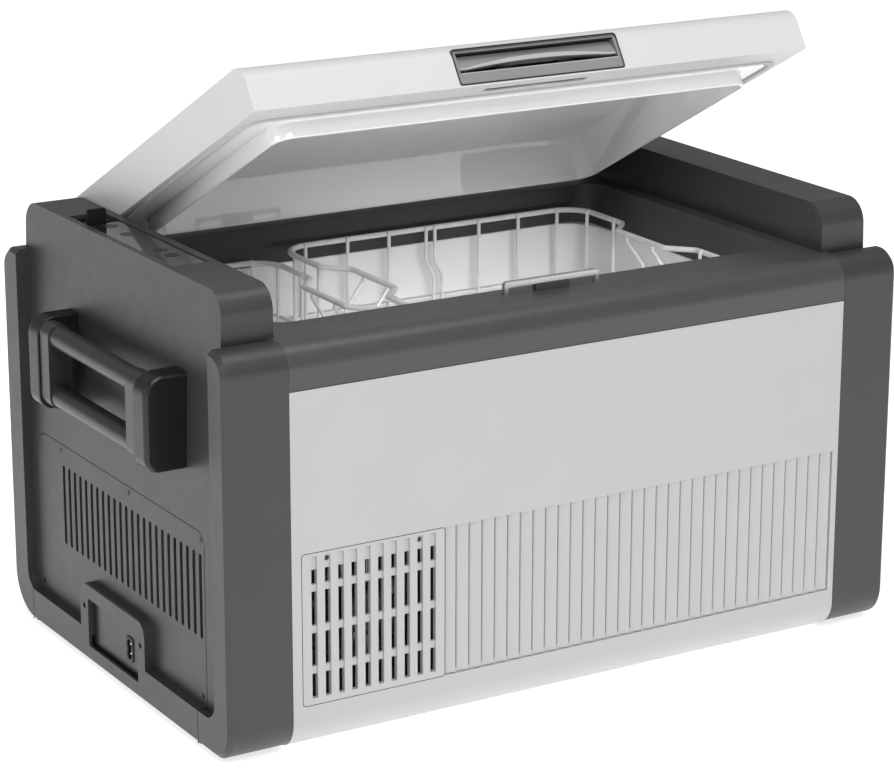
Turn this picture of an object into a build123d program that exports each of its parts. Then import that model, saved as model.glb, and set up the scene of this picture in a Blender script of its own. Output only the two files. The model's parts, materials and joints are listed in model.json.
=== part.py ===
"""Compressor cooler fridge, standing on its feet with the lid part open.

Millimetres. +X to the right, +Y to the rear, +Z up. The origin is at floor level, under the middle of the cabinet.
Heights below are measured from the cabinet's base; put_away() lifts every piece by the height of the feet.
The lid and what rides on it are drawn closed, then turned about the hinge to the angle that they rest at.
"""

from build123d import *
import os
from math import radians, sin, tan

# ---------------------------------------------------------------- cabinet
foot_height = 3.0
body_length = 650.0  # over the two end frames
body_depth = 420.0
panel_height = 300.0  # base to the top of the front panel
rim_rise = 36.0  # front panel to the top of the rim
skin = 3.5  # front and rear panels
floor_skin = 3.0
fit_gap = 0.2  # between pieces that are fastened to each other

# end frames
frame_width = 57.0
frame_bevel = 4.0
front_bottom_radius = 28.0
rear_bottom_radius = 40.0
top_edge_radius = 20.0
bar_front_width = 25.0
bar_rear_width = 30.0
bar_bottom_height = 30.0
end_recess = 15.5  # end panel behind the frame's outer face, at the top
end_draft = 6.5  # how much of that the end panel gains on its way down
end_draft_height = 150.0
recess_corner = 16.0
frame_wall = 5.0
frame_cavity_inset = 19.0

# ears, one on each end frame, with the lid between them
ear_rise = 41.0  # above the rim
ear_front_inset = 30.0
ear_rear_inset = 20.0
ear_inner_inset = 60.0  # end of the cabinet to the ear's inner face
ear_wall = 3.5
ear_top_wall = 4.0
plug_radius = 6.0
plug_inset = 18.0  # plug's centre behind the ear's front
plug_drop = 12.5  # and below its top

# rim and tub
rim_wall = 4.0
ledge = 15.0  # beside each ear
rail = 64.5  # in front of the opening and behind it
opening_draft_x = 16.0
opening_draft_y = 1.5
opening_corner = 22.0
skirt_wall = 2.5
skirt_above_panel = 2.0
tub_wall = 2.0
tub_inset_x = 4.0  # inside the lower edge of the rim's skirt
tub_inset_y = 2.0
tub_radius = 34.0
tub_floor_radius = 14.0
deep_floor = 62.0
tub_flange = 10.0

# machine compartment, under the shallow part of the tub
machine_length = 141.0  # seam of the left end frame to the compartment's inner wall
machine_top = 176.0
machine_foam = 10.0  # over the compartment
step_foam = 29.0  # beside it
partition_wall = 1.5

# ---------------------------------------------------------------- lid
hinge_inset = 13.0  # ahead of the ear's rear
hinge_drop = 11.0  # below the ear's top
hinge_pin_radius = 4.0
hinge_bush_wall = 2.0
hinge_boss_wall = 3.0
hinge_bush_length = 9.0
lid_open_angle = 28.0
lid_side_gap = 1.5
lid_seat_gap = 1.5
lid_thickness = 40.0
lid_front_lean = 5.0  # degrees
lid_front_radius = 17.0
lid_rear_radius = 6.0
lid_sweep_gap = 1.15  # rear of the rim to the lid's lower rear edge as it swings
lid_wall = 3.0
lid_flange_over_y = 1.5  # how far the liner's flange reaches past the opening
ring_gap_x = 22.0  # liner's ring to the mouth of the opening
ring_gap_y = 6.5
ring_drop = 14.0
ring_radius = 16.0
ring_draw = 18.0  # how much the ring's hollow narrows
liner_wall = 2.5
lid_recess_rise = 24.0
gasket_width = 5.0

# latch in the lid's front, and the striker on the rim
latch_length = 157.0
latch_low = 1.8  # above the lid's underside
latch_height = 30.5
latch_depth = 22.0
lever_low = 11.5
lever_height = 17.5
lever_gap = 2.2  # under the ends of the lever
lever_arch = 3.5  # how much wider the gap is in the middle
lever_pivot_ahead = 5.0  # of the striker
lever_pivot_up = 25.5
lever_rest_pull = 7.5  # degrees from home, at rest
lever_pin_radius = 1.5
striker_inset = 46.0
striker_length = 92.0
striker_height = 11.5
striker_bar = 5.0
hook_reach = 2.3
hook_inner = 22.0
hook_width = 16.0

# ---------------------------------------------------------------- handles
handle_y = -10.0
handle_stand_off = 12.0  # pivot outside the end frame's face
handle_drop = 12.0  # pivot below the top of the front panel
handle_bar_spacing = 51.5
handle_bar_radius = 9.5
handle_rod_radius = 4.0
handle_plate_width = 17.0
handle_span = 184.0  # between the brackets' inner faces
bracket_width = 21.0
bracket_outside = 12.5  # bracket outside the pivot
bracket_above = 13.0
bracket_below = 15.0  # below the lower bar's axis
bracket_round = 4.0
rod_seat = 14.0  # depth of the rod's hole in each bracket
running_clearance = 0.06

# ---------------------------------------------------------------- controls in the left ear
panel_inset_out = 6.0  # from the ear's outer face
panel_inset_in = 7.5  # from its inner face
panel_front_y = -86.0
panel_rear_y = 112.0
lens_rear_y = 77.0
lens_sink = 0.8
lens_thickness = 1.8
button_radius = 5.7
button_clearance = 0.3
button_travel = 0.8
button_rise = 0.3  # over the lens
button_inset = 14.5  # from the panel's inner edge
button_rows = {"power_button": 66.0, "set_button": 33.0, "up_button": -29.0, "down_button": -49.0}
usb_cover_width = 17.0
usb_cover_height = 12.0
usb_cover_thickness = 3.0
usb_cover_y = 82.0
usb_cover_inset = 20.0  # from the panel's inner edge

# ---------------------------------------------------------------- service cover
cover_front_inset = 56.0
cover_rear_inset = 40.0
cover_top = 176.0
cover_wall = 3.0
cover_gap = 0.6  # seam round the cover
cover_lip = 9.0
vent_count = 24
vent_front_inset = 7.0
vent_rear_inset = 56.0
vent_low = 87.0
vent_high = 158.5
vent_width = 5.0
socket_screw_spots = [(60.0, 50.0), (-50.0, 50.0)]
socket_front_y = -58.0
socket_rear_y = 68.0
socket_top = 70.5
window_front_y = -44.5
window_rear_y = 52.5
window_low = 15.5
window_high = 58.5
window_depth = 5.0
inlet_y = -20.0
inlet_z = 36.0

# ---------------------------------------------------------------- front panel, grille and ribs
panel_bend_front = 26.0
panel_bend_rear = 38.0
grille_inset = 9.0  # from the left seam
grille_length = 130.5
field_low = 38.5
field_high = 166.0
field_inset = 6.0  # from the right seam
field_depth = 1.9
rib_pitch = 12.2
grille_flange = 2.3
grille_depth = 4.6
grille_lip = 4.5
grille_columns = 10
grille_pitch = 12.05
grille_slot = 5.2
grille_rows = [(5.5, 20.4), (32.0, 28.1), (66.2, 28.7), (100.8, 12.4)]  # foot and height of each opening

# ---------------------------------------------------------------- baskets
basket_gap = 5.5
basket_gap_y = 5.0
basket_radius = 30.0
basket_wall = 3.0
large_step_gap = 2.0  # from the tub's step
small_step_gap = 3.0
large_below_rim = 16.0
small_below_rim = 25.5

# ---------------------------------------------------------------- worked out from the sizes above
frame_x = body_length / 2
half_depth = body_depth / 2
rim_height = panel_height + rim_rise
ear_height = rim_height + ear_rise
seam_x = frame_x - frame_width
ear_front_y = -half_depth + ear_front_inset
ear_rear_y = half_depth - ear_rear_inset
ear_inner_x = frame_x - ear_inner_inset
ear_out_x = frame_x - end_recess
recess_front_y = -half_depth + bar_front_width
recess_rear_y = half_depth - bar_rear_width
cavity_x = frame_x - frame_cavity_inset
panel_x = seam_x - fit_gap
plug_y, plug_z = ear_front_y + plug_inset, ear_height - plug_drop
opening_top_x = ear_inner_x - ledge
opening_top_y = half_depth - rail
opening_low_x = opening_top_x - opening_draft_x
opening_low_y = opening_top_y - opening_draft_y
skirt_low = panel_height + skirt_above_panel
tub_x = opening_low_x - tub_inset_x
tub_y = opening_low_y - tub_inset_y
machine_right_x = -seam_x + machine_length
deep_left_x = machine_right_x + step_foam
shallow_floor = machine_top + machine_foam
hinge_y = ear_rear_y - hinge_inset
hinge_z = ear_height - hinge_drop
hinge_bush_radius = hinge_pin_radius + hinge_bush_wall
lid_x = ear_inner_x - lid_side_gap
lid_low = rim_height + lid_seat_gap
lid_high = lid_low + lid_thickness
lean = tan(radians(lid_front_lean))
lid_flange_x = opening_top_x
lid_flange_y = opening_top_y + lid_flange_over_y
ring_x = opening_top_x - ring_gap_x
ring_y = opening_top_y - ring_gap_y
ring_low = lid_low - ring_drop
striker_y = -half_depth + striker_inset
striker_top = rim_height + striker_height
lever_pivot_y = striker_y - lever_pivot_ahead
lever_pivot_z = lid_low + lever_pivot_up
handle_pivot_x = frame_x + handle_stand_off
handle_pivot_z = panel_height - handle_drop
bracket_out_x = handle_pivot_x + bracket_outside
bracket_high = handle_pivot_z + bracket_above
bracket_low = handle_pivot_z - handle_bar_spacing - bracket_below
panel_out_x = ear_out_x - panel_inset_out
panel_in_x = ear_inner_x + panel_inset_in
button_x = -panel_in_x - button_inset
usb_cover_x = -panel_in_x - usb_cover_inset
cover_front_y = -half_depth + cover_front_inset
cover_rear_y = half_depth - cover_rear_inset
vent_first_y = cover_rear_y - vent_rear_inset
vent_last_y = cover_front_y + vent_front_inset
cover_screw_spots = [
    (cover_rear_y - 50, cover_top - 5),
    ((cover_front_y + cover_rear_y) / 2 - 23.5, cover_top - 5),
    (cover_front_y + 6, cover_top - 6),
    (cover_front_y + 6, bar_bottom_height + 8),
    (cover_rear_y - 6, bar_bottom_height + 8),
]
grille_left_x = -seam_x + grille_inset
grille_right_x = grille_left_x + grille_length
field_right_x = seam_x - field_inset
rib_count = round((field_right_x - grille_right_x) / rib_pitch)
basket_right_x = tub_x - basket_gap
basket_rear_y = tub_y - basket_gap_y
large_left_x = deep_left_x + large_step_gap
small_right_x = deep_left_x - small_step_gap
large_rim = rim_height - large_below_rim
small_rim = rim_height - small_below_rim


def corner_radius_that_clears():
    """The largest radius on the lid's lower rear edge that still swings clear of the rim.

    The corner's arc has its centre at (d - r, r - h) from the hinge, and its far side is r further out.
    """
    out, down = hinge_inset, hinge_z - lid_low
    room = hinge_z - rim_height - lid_sweep_gap
    # (out - r)^2 + (down - r)^2 = (room - r)^2
    b = out + down - room
    return b + (b * b - out * out - down * down + room * room) ** 0.5


lid_hinge_radius = corner_radius_that_clears()


# ---------------------------------------------------------------- shapes
def outline(corners):
    """A closed face from corners given as (x, y, radius)."""
    count = len(corners)
    bends = []
    for i, (x, y, radius) in enumerate(corners):
        corner = Vector(x, y)
        if not radius:
            bends.append((corner, corner, corner, 0))
            continue
        back = (Vector(*corners[i - 1][:2]) - corner).normalized()
        ahead = (Vector(*corners[(i + 1) % count][:2]) - corner).normalized()
        half = radians(back.get_angle(ahead)) / 2
        inward = (back + ahead).normalized()
        run = radius / tan(half)
        middle = corner + inward * (radius / sin(half) - radius)
        bends.append((corner + back * run, middle, corner + ahead * run, radius))
    edges = []
    for i, (start, middle, end, radius) in enumerate(bends):
        if radius:
            edges.append(ThreePointArc(start, middle, end))
        follow = bends[(i + 1) % count][0]
        if (follow - end).length > 1e-6:
            edges.append(Line(end, follow))
    return make_face(edges)


def prism_x(corners, x0, x1):
    return extrude(Plane.YZ.offset(x0) * outline(corners), x1 - x0)


def prism_y(corners, y0, y1):
    return extrude(Plane.XZ.offset(-y1) * outline(corners), y1 - y0)


def prism_z(corners, z0, z1):
    return extrude(Plane.XY.offset(z0) * outline(corners), z1 - z0)


def block(x0, x1, y0, y1, z0, z1):
    return Pos((x0 + x1) / 2, (y0 + y1) / 2, (z0 + z1) / 2) * Box(x1 - x0, y1 - y0, z1 - z0)


def rectangle(x0, x1, y0, y1, radius=0.0):
    return [(x0, y0, radius), (x1, y0, radius), (x1, y1, radius), (x0, y1, radius)]


def rounded_block(x0, x1, y0, y1, z0, z1, radius):
    """A box with rounded upright corners."""
    return prism_z(rectangle(x0, x1, y0, y1, radius), z0, z1)


def rod_x(y, z, radius, x0, x1):
    return extrude(Plane.YZ.offset(x0) * Pos(y, z) * Circle(radius), x1 - x0)


def rod_y(x, z, radius, y0, y1):
    return extrude(Plane.XZ.offset(-y1) * Pos(x, z) * Circle(radius), y1 - y0)


def rod_z(x, y, radius, z0, z1):
    return extrude(Plane.XY.offset(z0) * Pos(x, y) * Circle(radius), z1 - z0)


def funnel(low, high):
    """A loft between two rounded rectangles, each (half_x, half_y, radius, height)."""
    faces = []
    for half_x, half_y, radius, height in (low, high):
        faces.append(Plane.XY.offset(height) * outline(rectangle(-half_x, half_x, -half_y, half_y, radius)))
    return loft(faces)


def group(pieces):
    """Separate solids written as one piece."""
    return Part() + pieces


def both_ends(shape):
    """The shape and its mirror image at the other end of the cabinet."""
    return shape + mirror(shape, about=Plane.YZ)


# ---------------------------------------------------------------- end frames
def end_blank():
    """The left end before anything is cut in it: the raised bars, the drafted end panel and the ear."""
    low_front = (-half_depth, 0, front_bottom_radius)
    low_rear = (half_depth, 0, rear_bottom_radius)
    high_rear = (half_depth, rim_height, top_edge_radius)
    high_front = (-half_depth, rim_height, top_edge_radius)
    bars = prism_x([low_front, low_rear, high_rear, high_front], -frame_x, -seam_x)
    bars = chamfer(bars.faces().sort_by(Axis.X)[0].edges(), frame_bevel)
    recess = [
        (recess_front_y, bar_bottom_height, recess_corner),
        (recess_rear_y, bar_bottom_height, recess_corner),
        (recess_rear_y, rim_height + 1, 0),
        (recess_front_y, rim_height + 1, 0),
    ]
    bars -= prism_x(recess, -frame_x - 1, -seam_x - ear_wall)
    ear = prism_x(
        [
            (ear_front_y, panel_height, 0),
            (ear_rear_y, panel_height, 0),
            (ear_rear_y, ear_height, top_edge_radius),
            (ear_front_y, ear_height, top_edge_radius),
        ],
        -frame_x,
        -ear_inner_x,
    )
    ear -= block(-seam_x, 0, -half_depth, half_depth, 0, rim_height)
    low_panel = block(
        -frame_x, -seam_x, recess_front_y, recess_rear_y, bar_bottom_height, rim_height - top_edge_radius
    )
    drafted = [
        (-ear_inner_x, 0, 0),
        (-ear_inner_x, ear_height, 0),
        (-ear_out_x, ear_height, 0),
        (-ear_out_x - end_draft, end_draft_height, 0),
        (-ear_out_x - end_draft, 0, 0),
    ]
    return bars + ((ear + low_panel) & prism_y(drafted, -half_depth, half_depth))


def cover_outline(grow):
    """The service cover's edge, larger by grow all round but for the bottom, which is open."""
    front, rear, top = cover_front_y - grow, cover_rear_y + grow, cover_top + grow
    return [(front, -1, 0), (rear, -1, 0), (rear, top, 18 + grow), (front, top, 12 + grow)]


def end_cavity():
    inner = half_depth - frame_wall
    hollow = [
        (-inner, floor_skin, front_bottom_radius - frame_wall),
        (inner, floor_skin, rear_bottom_radius - frame_wall),
        (inner, rim_height - frame_wall, top_edge_radius - frame_wall),
        (-inner, rim_height - frame_wall, top_edge_radius - frame_wall),
    ]
    cavity = prism_x(hollow, -cavity_x, -seam_x)
    ear_room = prism_x(
        [
            (ear_front_y + frame_wall, rim_height - frame_wall - 1, 0),
            (ear_rear_y - frame_wall, rim_height - frame_wall - 1, 0),
            (ear_rear_y - frame_wall, ear_height - ear_top_wall, top_edge_radius - frame_wall),
            (ear_front_y + frame_wall, ear_height - ear_top_wall, top_edge_radius - frame_wall),
        ],
        -cavity_x,
        -ear_inner_x - ear_wall,
    )
    return cavity + ear_room


def plain_end_frame(blank):
    """An end frame at the left with what both ends share: its hollow, hinge boss and handle rod bosses."""
    frame = blank - end_cavity()
    boss_x = -ear_inner_x - ear_wall - 8
    frame += rod_x(hinge_y, hinge_z, hinge_pin_radius + hinge_boss_wall, boss_x, -ear_inner_x - ear_wall) & block(
        boss_x, 0, 0, ear_rear_y - frame_wall + 1, rim_height, ear_height - 1
    )
    frame -= rod_x(hinge_y, hinge_z, hinge_pin_radius + 0.02, boss_x, 0)
    return frame - rod_x(plug_y, plug_z, plug_radius + 0.05, -ear_inner_x - 1.2, 0)


def end_frame_left(blank):
    frame = plain_end_frame(blank)
    seat_x = -ear_out_x - end_draft + cover_wall
    frame -= prism_x(cover_outline(cover_gap), -frame_x - 1, seat_x)
    window = [
        (cover_front_y + cover_lip, floor_skin + 2, 0),
        (cover_rear_y - cover_lip, floor_skin + 2, 0),
        (cover_rear_y - cover_lip, cover_top - cover_lip, 10),
        (cover_front_y + cover_lip, cover_top - cover_lip, 10),
    ]
    frame -= prism_x(window, seat_x - 1, -cavity_x + 1)
    for y, z in cover_screw_spots:
        frame -= rod_x(y, z, 1.4, seat_x - 1, -cavity_x + 1)
    return frame - block(
        -panel_out_x, -panel_in_x, panel_front_y, panel_rear_y, ear_height - ear_top_wall - 1, ear_height + 1
    )


def ear_plugs():
    return both_ends(rod_x(plug_y, plug_z, plug_radius, -ear_inner_x - 1.2, -ear_inner_x + 0.3))


# ---------------------------------------------------------------- service cover and sockets
def service_cover(blank):
    panel_face_x = -ear_out_x - end_draft
    inner_x = panel_face_x + cover_wall
    cover = blank & prism_x(cover_outline(0), -frame_x - 1, inner_x)
    cover -= block(
        -frame_x + cover_wall, inner_x + 1, cover_front_y - 1, cover_rear_y + 1, cover_wall, bar_bottom_height - 4
    )
    cover += block(
        -frame_x + cover_wall - 0.5, inner_x, cover_front_y, cover_front_y + cover_wall, 0.5, bar_bottom_height - 2
    )
    cover += block(
        -frame_x + cover_wall - 0.5, inner_x, cover_rear_y - cover_wall, cover_rear_y, 0.5, bar_bottom_height - 2
    )
    step = -frame_x - panel_face_x
    housing_low = bar_bottom_height - 6
    housing = prism_y(
        [
            (-frame_x, housing_low, 0),
            (inner_x, housing_low, 0),
            (inner_x, socket_top - step, 0),
            (-frame_x, socket_top, 0),
        ],
        socket_front_y,
        socket_rear_y,
    )
    housing &= prism_x(
        [
            (socket_front_y, 0, 0),
            (socket_rear_y, 0, 0),
            (socket_rear_y, socket_top + 1, 14),
            (socket_front_y, socket_top + 1, 14),
        ],
        -frame_x - 1,
        inner_x + 1,
    )
    cover += housing
    cover -= block(
        -frame_x + window_depth,
        inner_x + 1,
        window_front_y - 4,
        window_rear_y + 4,
        cover_wall,
        window_high + 4,
    )
    cover -= prism_x(
        rectangle(window_front_y, window_rear_y, window_low, window_high, 2), -frame_x - 1, inner_x + 1
    )
    pitch = (vent_first_y - vent_last_y) / (vent_count - 1)
    for i in range(vent_count):
        y = vent_last_y + i * pitch
        half = vent_width / 2
        cover -= prism_x(
            rectangle(y - half, y + half, vent_low, vent_high, half - 0.1), -frame_x - 1, inner_x + 1
        )
    for y, z in cover_screw_spots:
        cover -= rod_x(y, z, 2.6, panel_face_x - 1, panel_face_x + 1.4)
        cover -= rod_x(y, z, 1.5, panel_face_x, inner_x + 1)
    for y, z in socket_screw_spots:
        cover -= rod_x(y, z, 2.6, -frame_x - 1, -frame_x + 2.4)
    return cover


def cover_screws():
    """Pan-head screws of the service cover and of the socket housing, as one group."""
    face_x = -ear_out_x - end_draft
    screws = []
    for y, z in cover_screw_spots:
        screw = rod_x(y, z, 2.4, face_x + 0.4, face_x + 1.4) + rod_x(y, z, 1.35, face_x + 1.4, -cavity_x - 0.5)
        screws.append(screw - block(face_x, face_x + 0.9, y - 0.4, y + 0.4, z - 1.6, z + 1.6))
    for y, z in socket_screw_spots:
        screw = rod_x(y, z, 2.4, -frame_x + 1.2, -frame_x + 2.4)
        screws.append(screw - block(-frame_x, -frame_x + 1.7, y - 0.4, y + 0.4, z - 1.6, z + 1.6))
    return group(screws)


def figure_eight(grow, z_offset=0.0):
    """The outline of the mains inlet: two round lobes one above the other, as a sketch in the YZ plane."""
    lobe = 4.35 + grow
    lobe_spacing = 8.6
    shape = Pos(inlet_y, inlet_z + lobe_spacing / 2 + z_offset) * Circle(lobe)
    shape += Pos(inlet_y, inlet_z - lobe_spacing / 2 + z_offset) * Circle(lobe)
    return shape + Pos(inlet_y, inlet_z + z_offset) * Rectangle(2 * lobe * 0.8, lobe_spacing)


def socket_plate():
    face_x = -frame_x + window_depth
    plate = block(face_x, face_x + 2.4, window_front_y - 3.5, window_rear_y + 3.5, window_low - 8, window_high + 3.5)
    return plate - prism_x(
        rectangle(inlet_y - 6.6, inlet_y + 6.6, inlet_z - 11.1, inlet_z + 11.1, 3), face_x - 1, face_x + 3
    )


def ac_inlet():
    face_x = -frame_x + window_depth - 1.0
    body = prism_x(
        rectangle(inlet_y - 6.5, inlet_y + 6.5, inlet_z - 11, inlet_z + 11, 3), face_x, face_x + 18
    )
    return body - extrude(Plane.YZ.offset(face_x - 1) * figure_eight(0), 15)


def ac_inlet_pins():
    face_x = -frame_x + window_depth - 1.0
    pins = [rod_x(inlet_y, inlet_z + dz, 1.1, face_x + 1.5, face_x + 14) for dz in (-4.3, 4.3)]
    return group(pins)


# ---------------------------------------------------------------- front and rear panels, base
def bent_panel(side, bend, flange):
    """A sheet that turns under the cabinet. side is -1 at the front and 1 at the rear."""
    out = side * half_depth
    inner = side * (half_depth - skin)
    end = side * (half_depth - bend - flange)
    return [
        (out, panel_height - fit_gap, 0),
        (out, 0, bend),
        (end, 0, 0),
        (end, floor_skin, 0),
        (inner, floor_skin, bend - skin),
        (inner, panel_height - fit_gap, 0),
    ]


def front_panel():
    panel = prism_x(bent_panel(-1, panel_bend_front, 12), -panel_x, panel_x)
    face = -half_depth
    panel -= block(grille_right_x, field_right_x, face - 1, face + field_depth, field_low, field_high)
    pitch = (field_right_x - grille_right_x) / rib_count
    teeth = []
    for i in range(rib_count):
        left = grille_right_x + i * pitch
        teeth += [(left, face + field_depth, 0), (left + 0.82 * pitch, face + 0.15, 0)]
        teeth += [(left + 0.9 * pitch, face + field_depth, 0)]
    teeth += [(field_right_x, face + field_depth + 0.2, 0), (grille_right_x, face + field_depth + 0.2, 0)]
    panel += prism_z(teeth, field_low + 1.5, field_high)
    seat = rectangle(grille_left_x - fit_gap, grille_right_x + fit_gap, field_low - fit_gap, field_high + fit_gap, 3)
    panel -= prism_y(seat, face - 1, face + grille_flange)
    hole = rectangle(
        grille_left_x + grille_lip - fit_gap,
        grille_right_x - grille_lip + fit_gap,
        field_low + grille_lip - fit_gap,
        field_high - grille_lip + fit_gap,
        2,
    )
    return panel - prism_y(hole, face, face + skin + 1)


def grille_column_x(column):
    middle = (grille_left_x + grille_right_x) / 2
    return middle + (column - (grille_columns - 1) / 2) * grille_pitch


def front_grille():
    face = -half_depth
    grille = prism_y(
        rectangle(grille_left_x, grille_right_x, field_low, field_high, 3), face, face + grille_flange
    )
    grille += prism_y(
        rectangle(
            grille_left_x + grille_lip,
            grille_right_x - grille_lip,
            field_low + grille_lip,
            field_high - grille_lip,
            2,
        ),
        face,
        face + grille_depth,
    )
    first_foot = grille_rows[0][0]
    slot_top = field_high - field_low - 2.8
    half = grille_slot / 2
    for column in range(grille_columns):
        x = grille_column_x(column)
        grille -= prism_y(
            rectangle(x - half, x + half, field_low + first_foot, field_low + slot_top, 0.8), face - 1, face + 1.6
        )
        for foot, height in grille_rows:
            low = field_low + foot
            opening = rectangle(x - half, x + half, low, low + height, 0.8)
            grille -= prism_y(opening, face - 1, face + grille_depth + 1)
    for column in (1, grille_columns - 2):
        grille -= rod_y(grille_column_x(column), field_high - 6.5, 2.2, face - 1, face + grille_depth + 1)
    return grille


def grille_screws():
    face = -half_depth
    screws = []
    for column in (1, grille_columns - 2):
        x, z = grille_column_x(column), field_high - 6.5
        screws.append(rod_y(x, z, 2.1, face + 2.2, face + 9))
    return group(screws)


def rear_panel():
    return prism_x(bent_panel(1, panel_bend_rear, 22), -panel_x, panel_x)


foot_spots = [(x, y) for x in (100 - frame_x, frame_x - 100) for y in (58 - half_depth, half_depth - 82)]


def base_pan():
    front = -half_depth + panel_bend_front + 12 + fit_gap
    rear = half_depth - panel_bend_rear - 22 - fit_gap
    pan = block(-panel_x, panel_x, front, rear, 0, floor_skin)
    for x, y in foot_spots:
        pan -= rod_z(x, y, 4.05, -1, floor_skin + 1)
    return pan


def rubber_feet():
    feet = []
    for x, y in foot_spots:
        feet.append(rod_z(x, y, 15, -foot_height, 0) + rod_z(x, y, 4, 0, floor_skin))
    return group(feet)


# ---------------------------------------------------------------- rim, tub, insulation
def opening_room(grow, low, high):
    """The sloping mouth of the rim, larger by grow all round."""
    slope_x = opening_draft_x / (rim_height - skirt_low)
    slope_y = opening_draft_y / (rim_height - skirt_low)
    ends = []
    for height in (low, high):
        up = height - skirt_low
        ends.append(
            (opening_low_x + up * slope_x + grow, opening_low_y + up * slope_y + grow, opening_corner + grow, height)
        )
    return funnel(*ends)


def top_rim():
    rim = prism_x(
        [
            (-half_depth, panel_height, 0),
            (half_depth, panel_height, 0),
            (half_depth, rim_height, top_edge_radius),
            (-half_depth, rim_height, top_edge_radius),
        ],
        -panel_x,
        panel_x,
    )
    inner = half_depth - rim_wall
    rim -= prism_x(
        [
            (-inner, panel_height - 1, 0),
            (inner, panel_height - 1, 0),
            (inner, rim_height - rim_wall, top_edge_radius - rim_wall),
            (-inner, rim_height - rim_wall, top_edge_radius - rim_wall),
        ],
        -panel_x + rim_wall,
        panel_x - rim_wall,
    )
    rim += opening_room(skirt_wall, skirt_low, rim_height - 1)
    rim -= opening_room(0, skirt_low - 1, rim_height + 1)
    half = striker_length / 2
    rim += block(-16, 16, striker_y - 3, striker_y + 3, rim_height - 1, striker_top - striker_bar - 0.3)
    for side in (-1, 1):
        x = side * (half - 2)
        rim -= block(
            x - 2 - 0.05, x + 2 + 0.05, striker_y - 2.55, striker_y + 2.55, rim_height - rim_wall - 1, rim_height + 1
        )
    return rim


def striker():
    half = striker_length / 2
    bow = prism_y(
        [
            (-half, rim_height - rim_wall, 0),
            (half, rim_height - rim_wall, 0),
            (half, striker_top, 3),
            (-half, striker_top, 3),
        ],
        striker_y - striker_bar / 2,
        striker_y + striker_bar / 2,
    )
    return bow - block(-half + 4, half - 4, striker_y - 9, striker_y + 9, 0, striker_top - striker_bar)


def tub_shape(grow):
    """The tub's L-shaped room, larger by grow on every side but the top."""
    shallow = rounded_block(
        -tub_x - grow, tub_x + grow, -tub_y - grow, tub_y + grow, shallow_floor - grow, skirt_low, tub_radius + grow
    )
    shallow = fillet(shallow.faces().sort_by(Axis.Z)[0].edges(), tub_floor_radius)
    deep = rounded_block(
        deep_left_x - grow, tub_x + grow, -tub_y - grow, tub_y + grow, deep_floor - grow, skirt_low, tub_radius + grow
    )
    deep = fillet(deep.faces().sort_by(Axis.Z)[0].edges(), tub_floor_radius)
    return shallow + deep


def inner_tub():
    flange = rounded_block(
        -tub_x - tub_flange,
        tub_x + tub_flange,
        -tub_y - tub_flange,
        tub_y + tub_flange,
        skirt_low - tub_wall,
        skirt_low,
        tub_radius,
    )
    return tub_shape(tub_wall) + flange - tub_shape(0)


evaporator_wall = 1.5
evaporator_low, evaporator_high = deep_floor + 40, shallow_floor - 10
foam_gap = 0.5


def evaporator():
    """A plate evaporator bent round three sides of the deep part of the tub, outside it."""
    inner = tub_wall + 0.2
    outer = inner + evaporator_wall
    low, high = evaporator_low, evaporator_high
    band = rounded_block(
        deep_left_x - 60, tub_x + outer, -tub_y - outer, tub_y + outer, low, high, tub_radius + outer
    )
    band -= rounded_block(
        deep_left_x - 61, tub_x + inner, -tub_y - inner, tub_y + inner, low - 1, high + 1, tub_radius + inner
    )
    return band & block(deep_left_x + tub_radius, tub_x + 50, -half_depth, half_depth, low, high)


def cross_section(side_inset, low_inset, high, front_bend, rear_bend):
    """A cabinet section inside its panels: (y, z, radius) corners, open to no side."""
    inner = half_depth - side_inset
    return [(-inner, low_inset, front_bend), (inner, low_inset, rear_bend), (inner, high, 0), (-inner, high, 0)]


def evaporator_room():
    """The groove that the foam leaves for the evaporator."""
    room = tub_wall + evaporator_wall + 0.4
    low, high = evaporator_low - 0.2, evaporator_high + 0.2
    left_x = deep_left_x + tub_radius - 1
    band = rounded_block(
        left_x - 100, tub_x + room, -tub_y - room, tub_y + room, low, high, tub_radius + room
    )
    return band & block(left_x, tub_x + 50, -half_depth, half_depth, low, high)


def foam_insulation():
    """Foamed in place: it fills whatever the skins, the tub and the machine compartment leave."""
    floor = floor_skin + foam_gap
    between = cross_section(
        skin + foam_gap, floor, skirt_low - tub_wall - foam_gap, panel_bend_front - skin, panel_bend_rear - skin
    )
    foam = prism_x(between, -panel_x, panel_x)
    end_inner = half_depth - frame_wall - foam_gap
    end_high = rim_height - frame_wall - foam_gap
    end_foam = prism_x(
        [
            (-end_inner, floor, front_bottom_radius - frame_wall),
            (end_inner, floor, rear_bottom_radius - frame_wall),
            (end_inner, end_high, top_edge_radius - frame_wall),
            (-end_inner, end_high, top_edge_radius - frame_wall),
        ],
        seam_x + foam_gap,
        cavity_x - foam_gap,
    )
    foam += both_ends(end_foam)
    foam += block(-seam_x - 1, seam_x + 1, -end_inner + 30, end_inner - 40, 60, panel_height - 10)
    foam -= tub_shape(tub_wall + 0.1)
    foam -= block(-frame_x, machine_right_x, -half_depth, half_depth, 0, machine_top)
    return foam - evaporator_room()


def machine_partition():
    gap = 0.5
    outer_x, outer_z = machine_right_x - gap, machine_top - gap
    left_x = -seam_x + 0.5
    inner = half_depth - skin - gap
    bend = [
        (left_x, outer_z - partition_wall, 0),
        (outer_x - partition_wall, outer_z - partition_wall, 0),
        (outer_x - partition_wall, floor_skin, 0),
        (outer_x, floor_skin, 0),
        (outer_x, outer_z, 0),
        (left_x, outer_z, 0),
    ]
    bounds = cross_section(skin + gap, floor_skin, outer_z, panel_bend_front - skin, panel_bend_rear - skin)
    return prism_y(bend, -inner, inner) & prism_x(bounds, -frame_x, 0)


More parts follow.
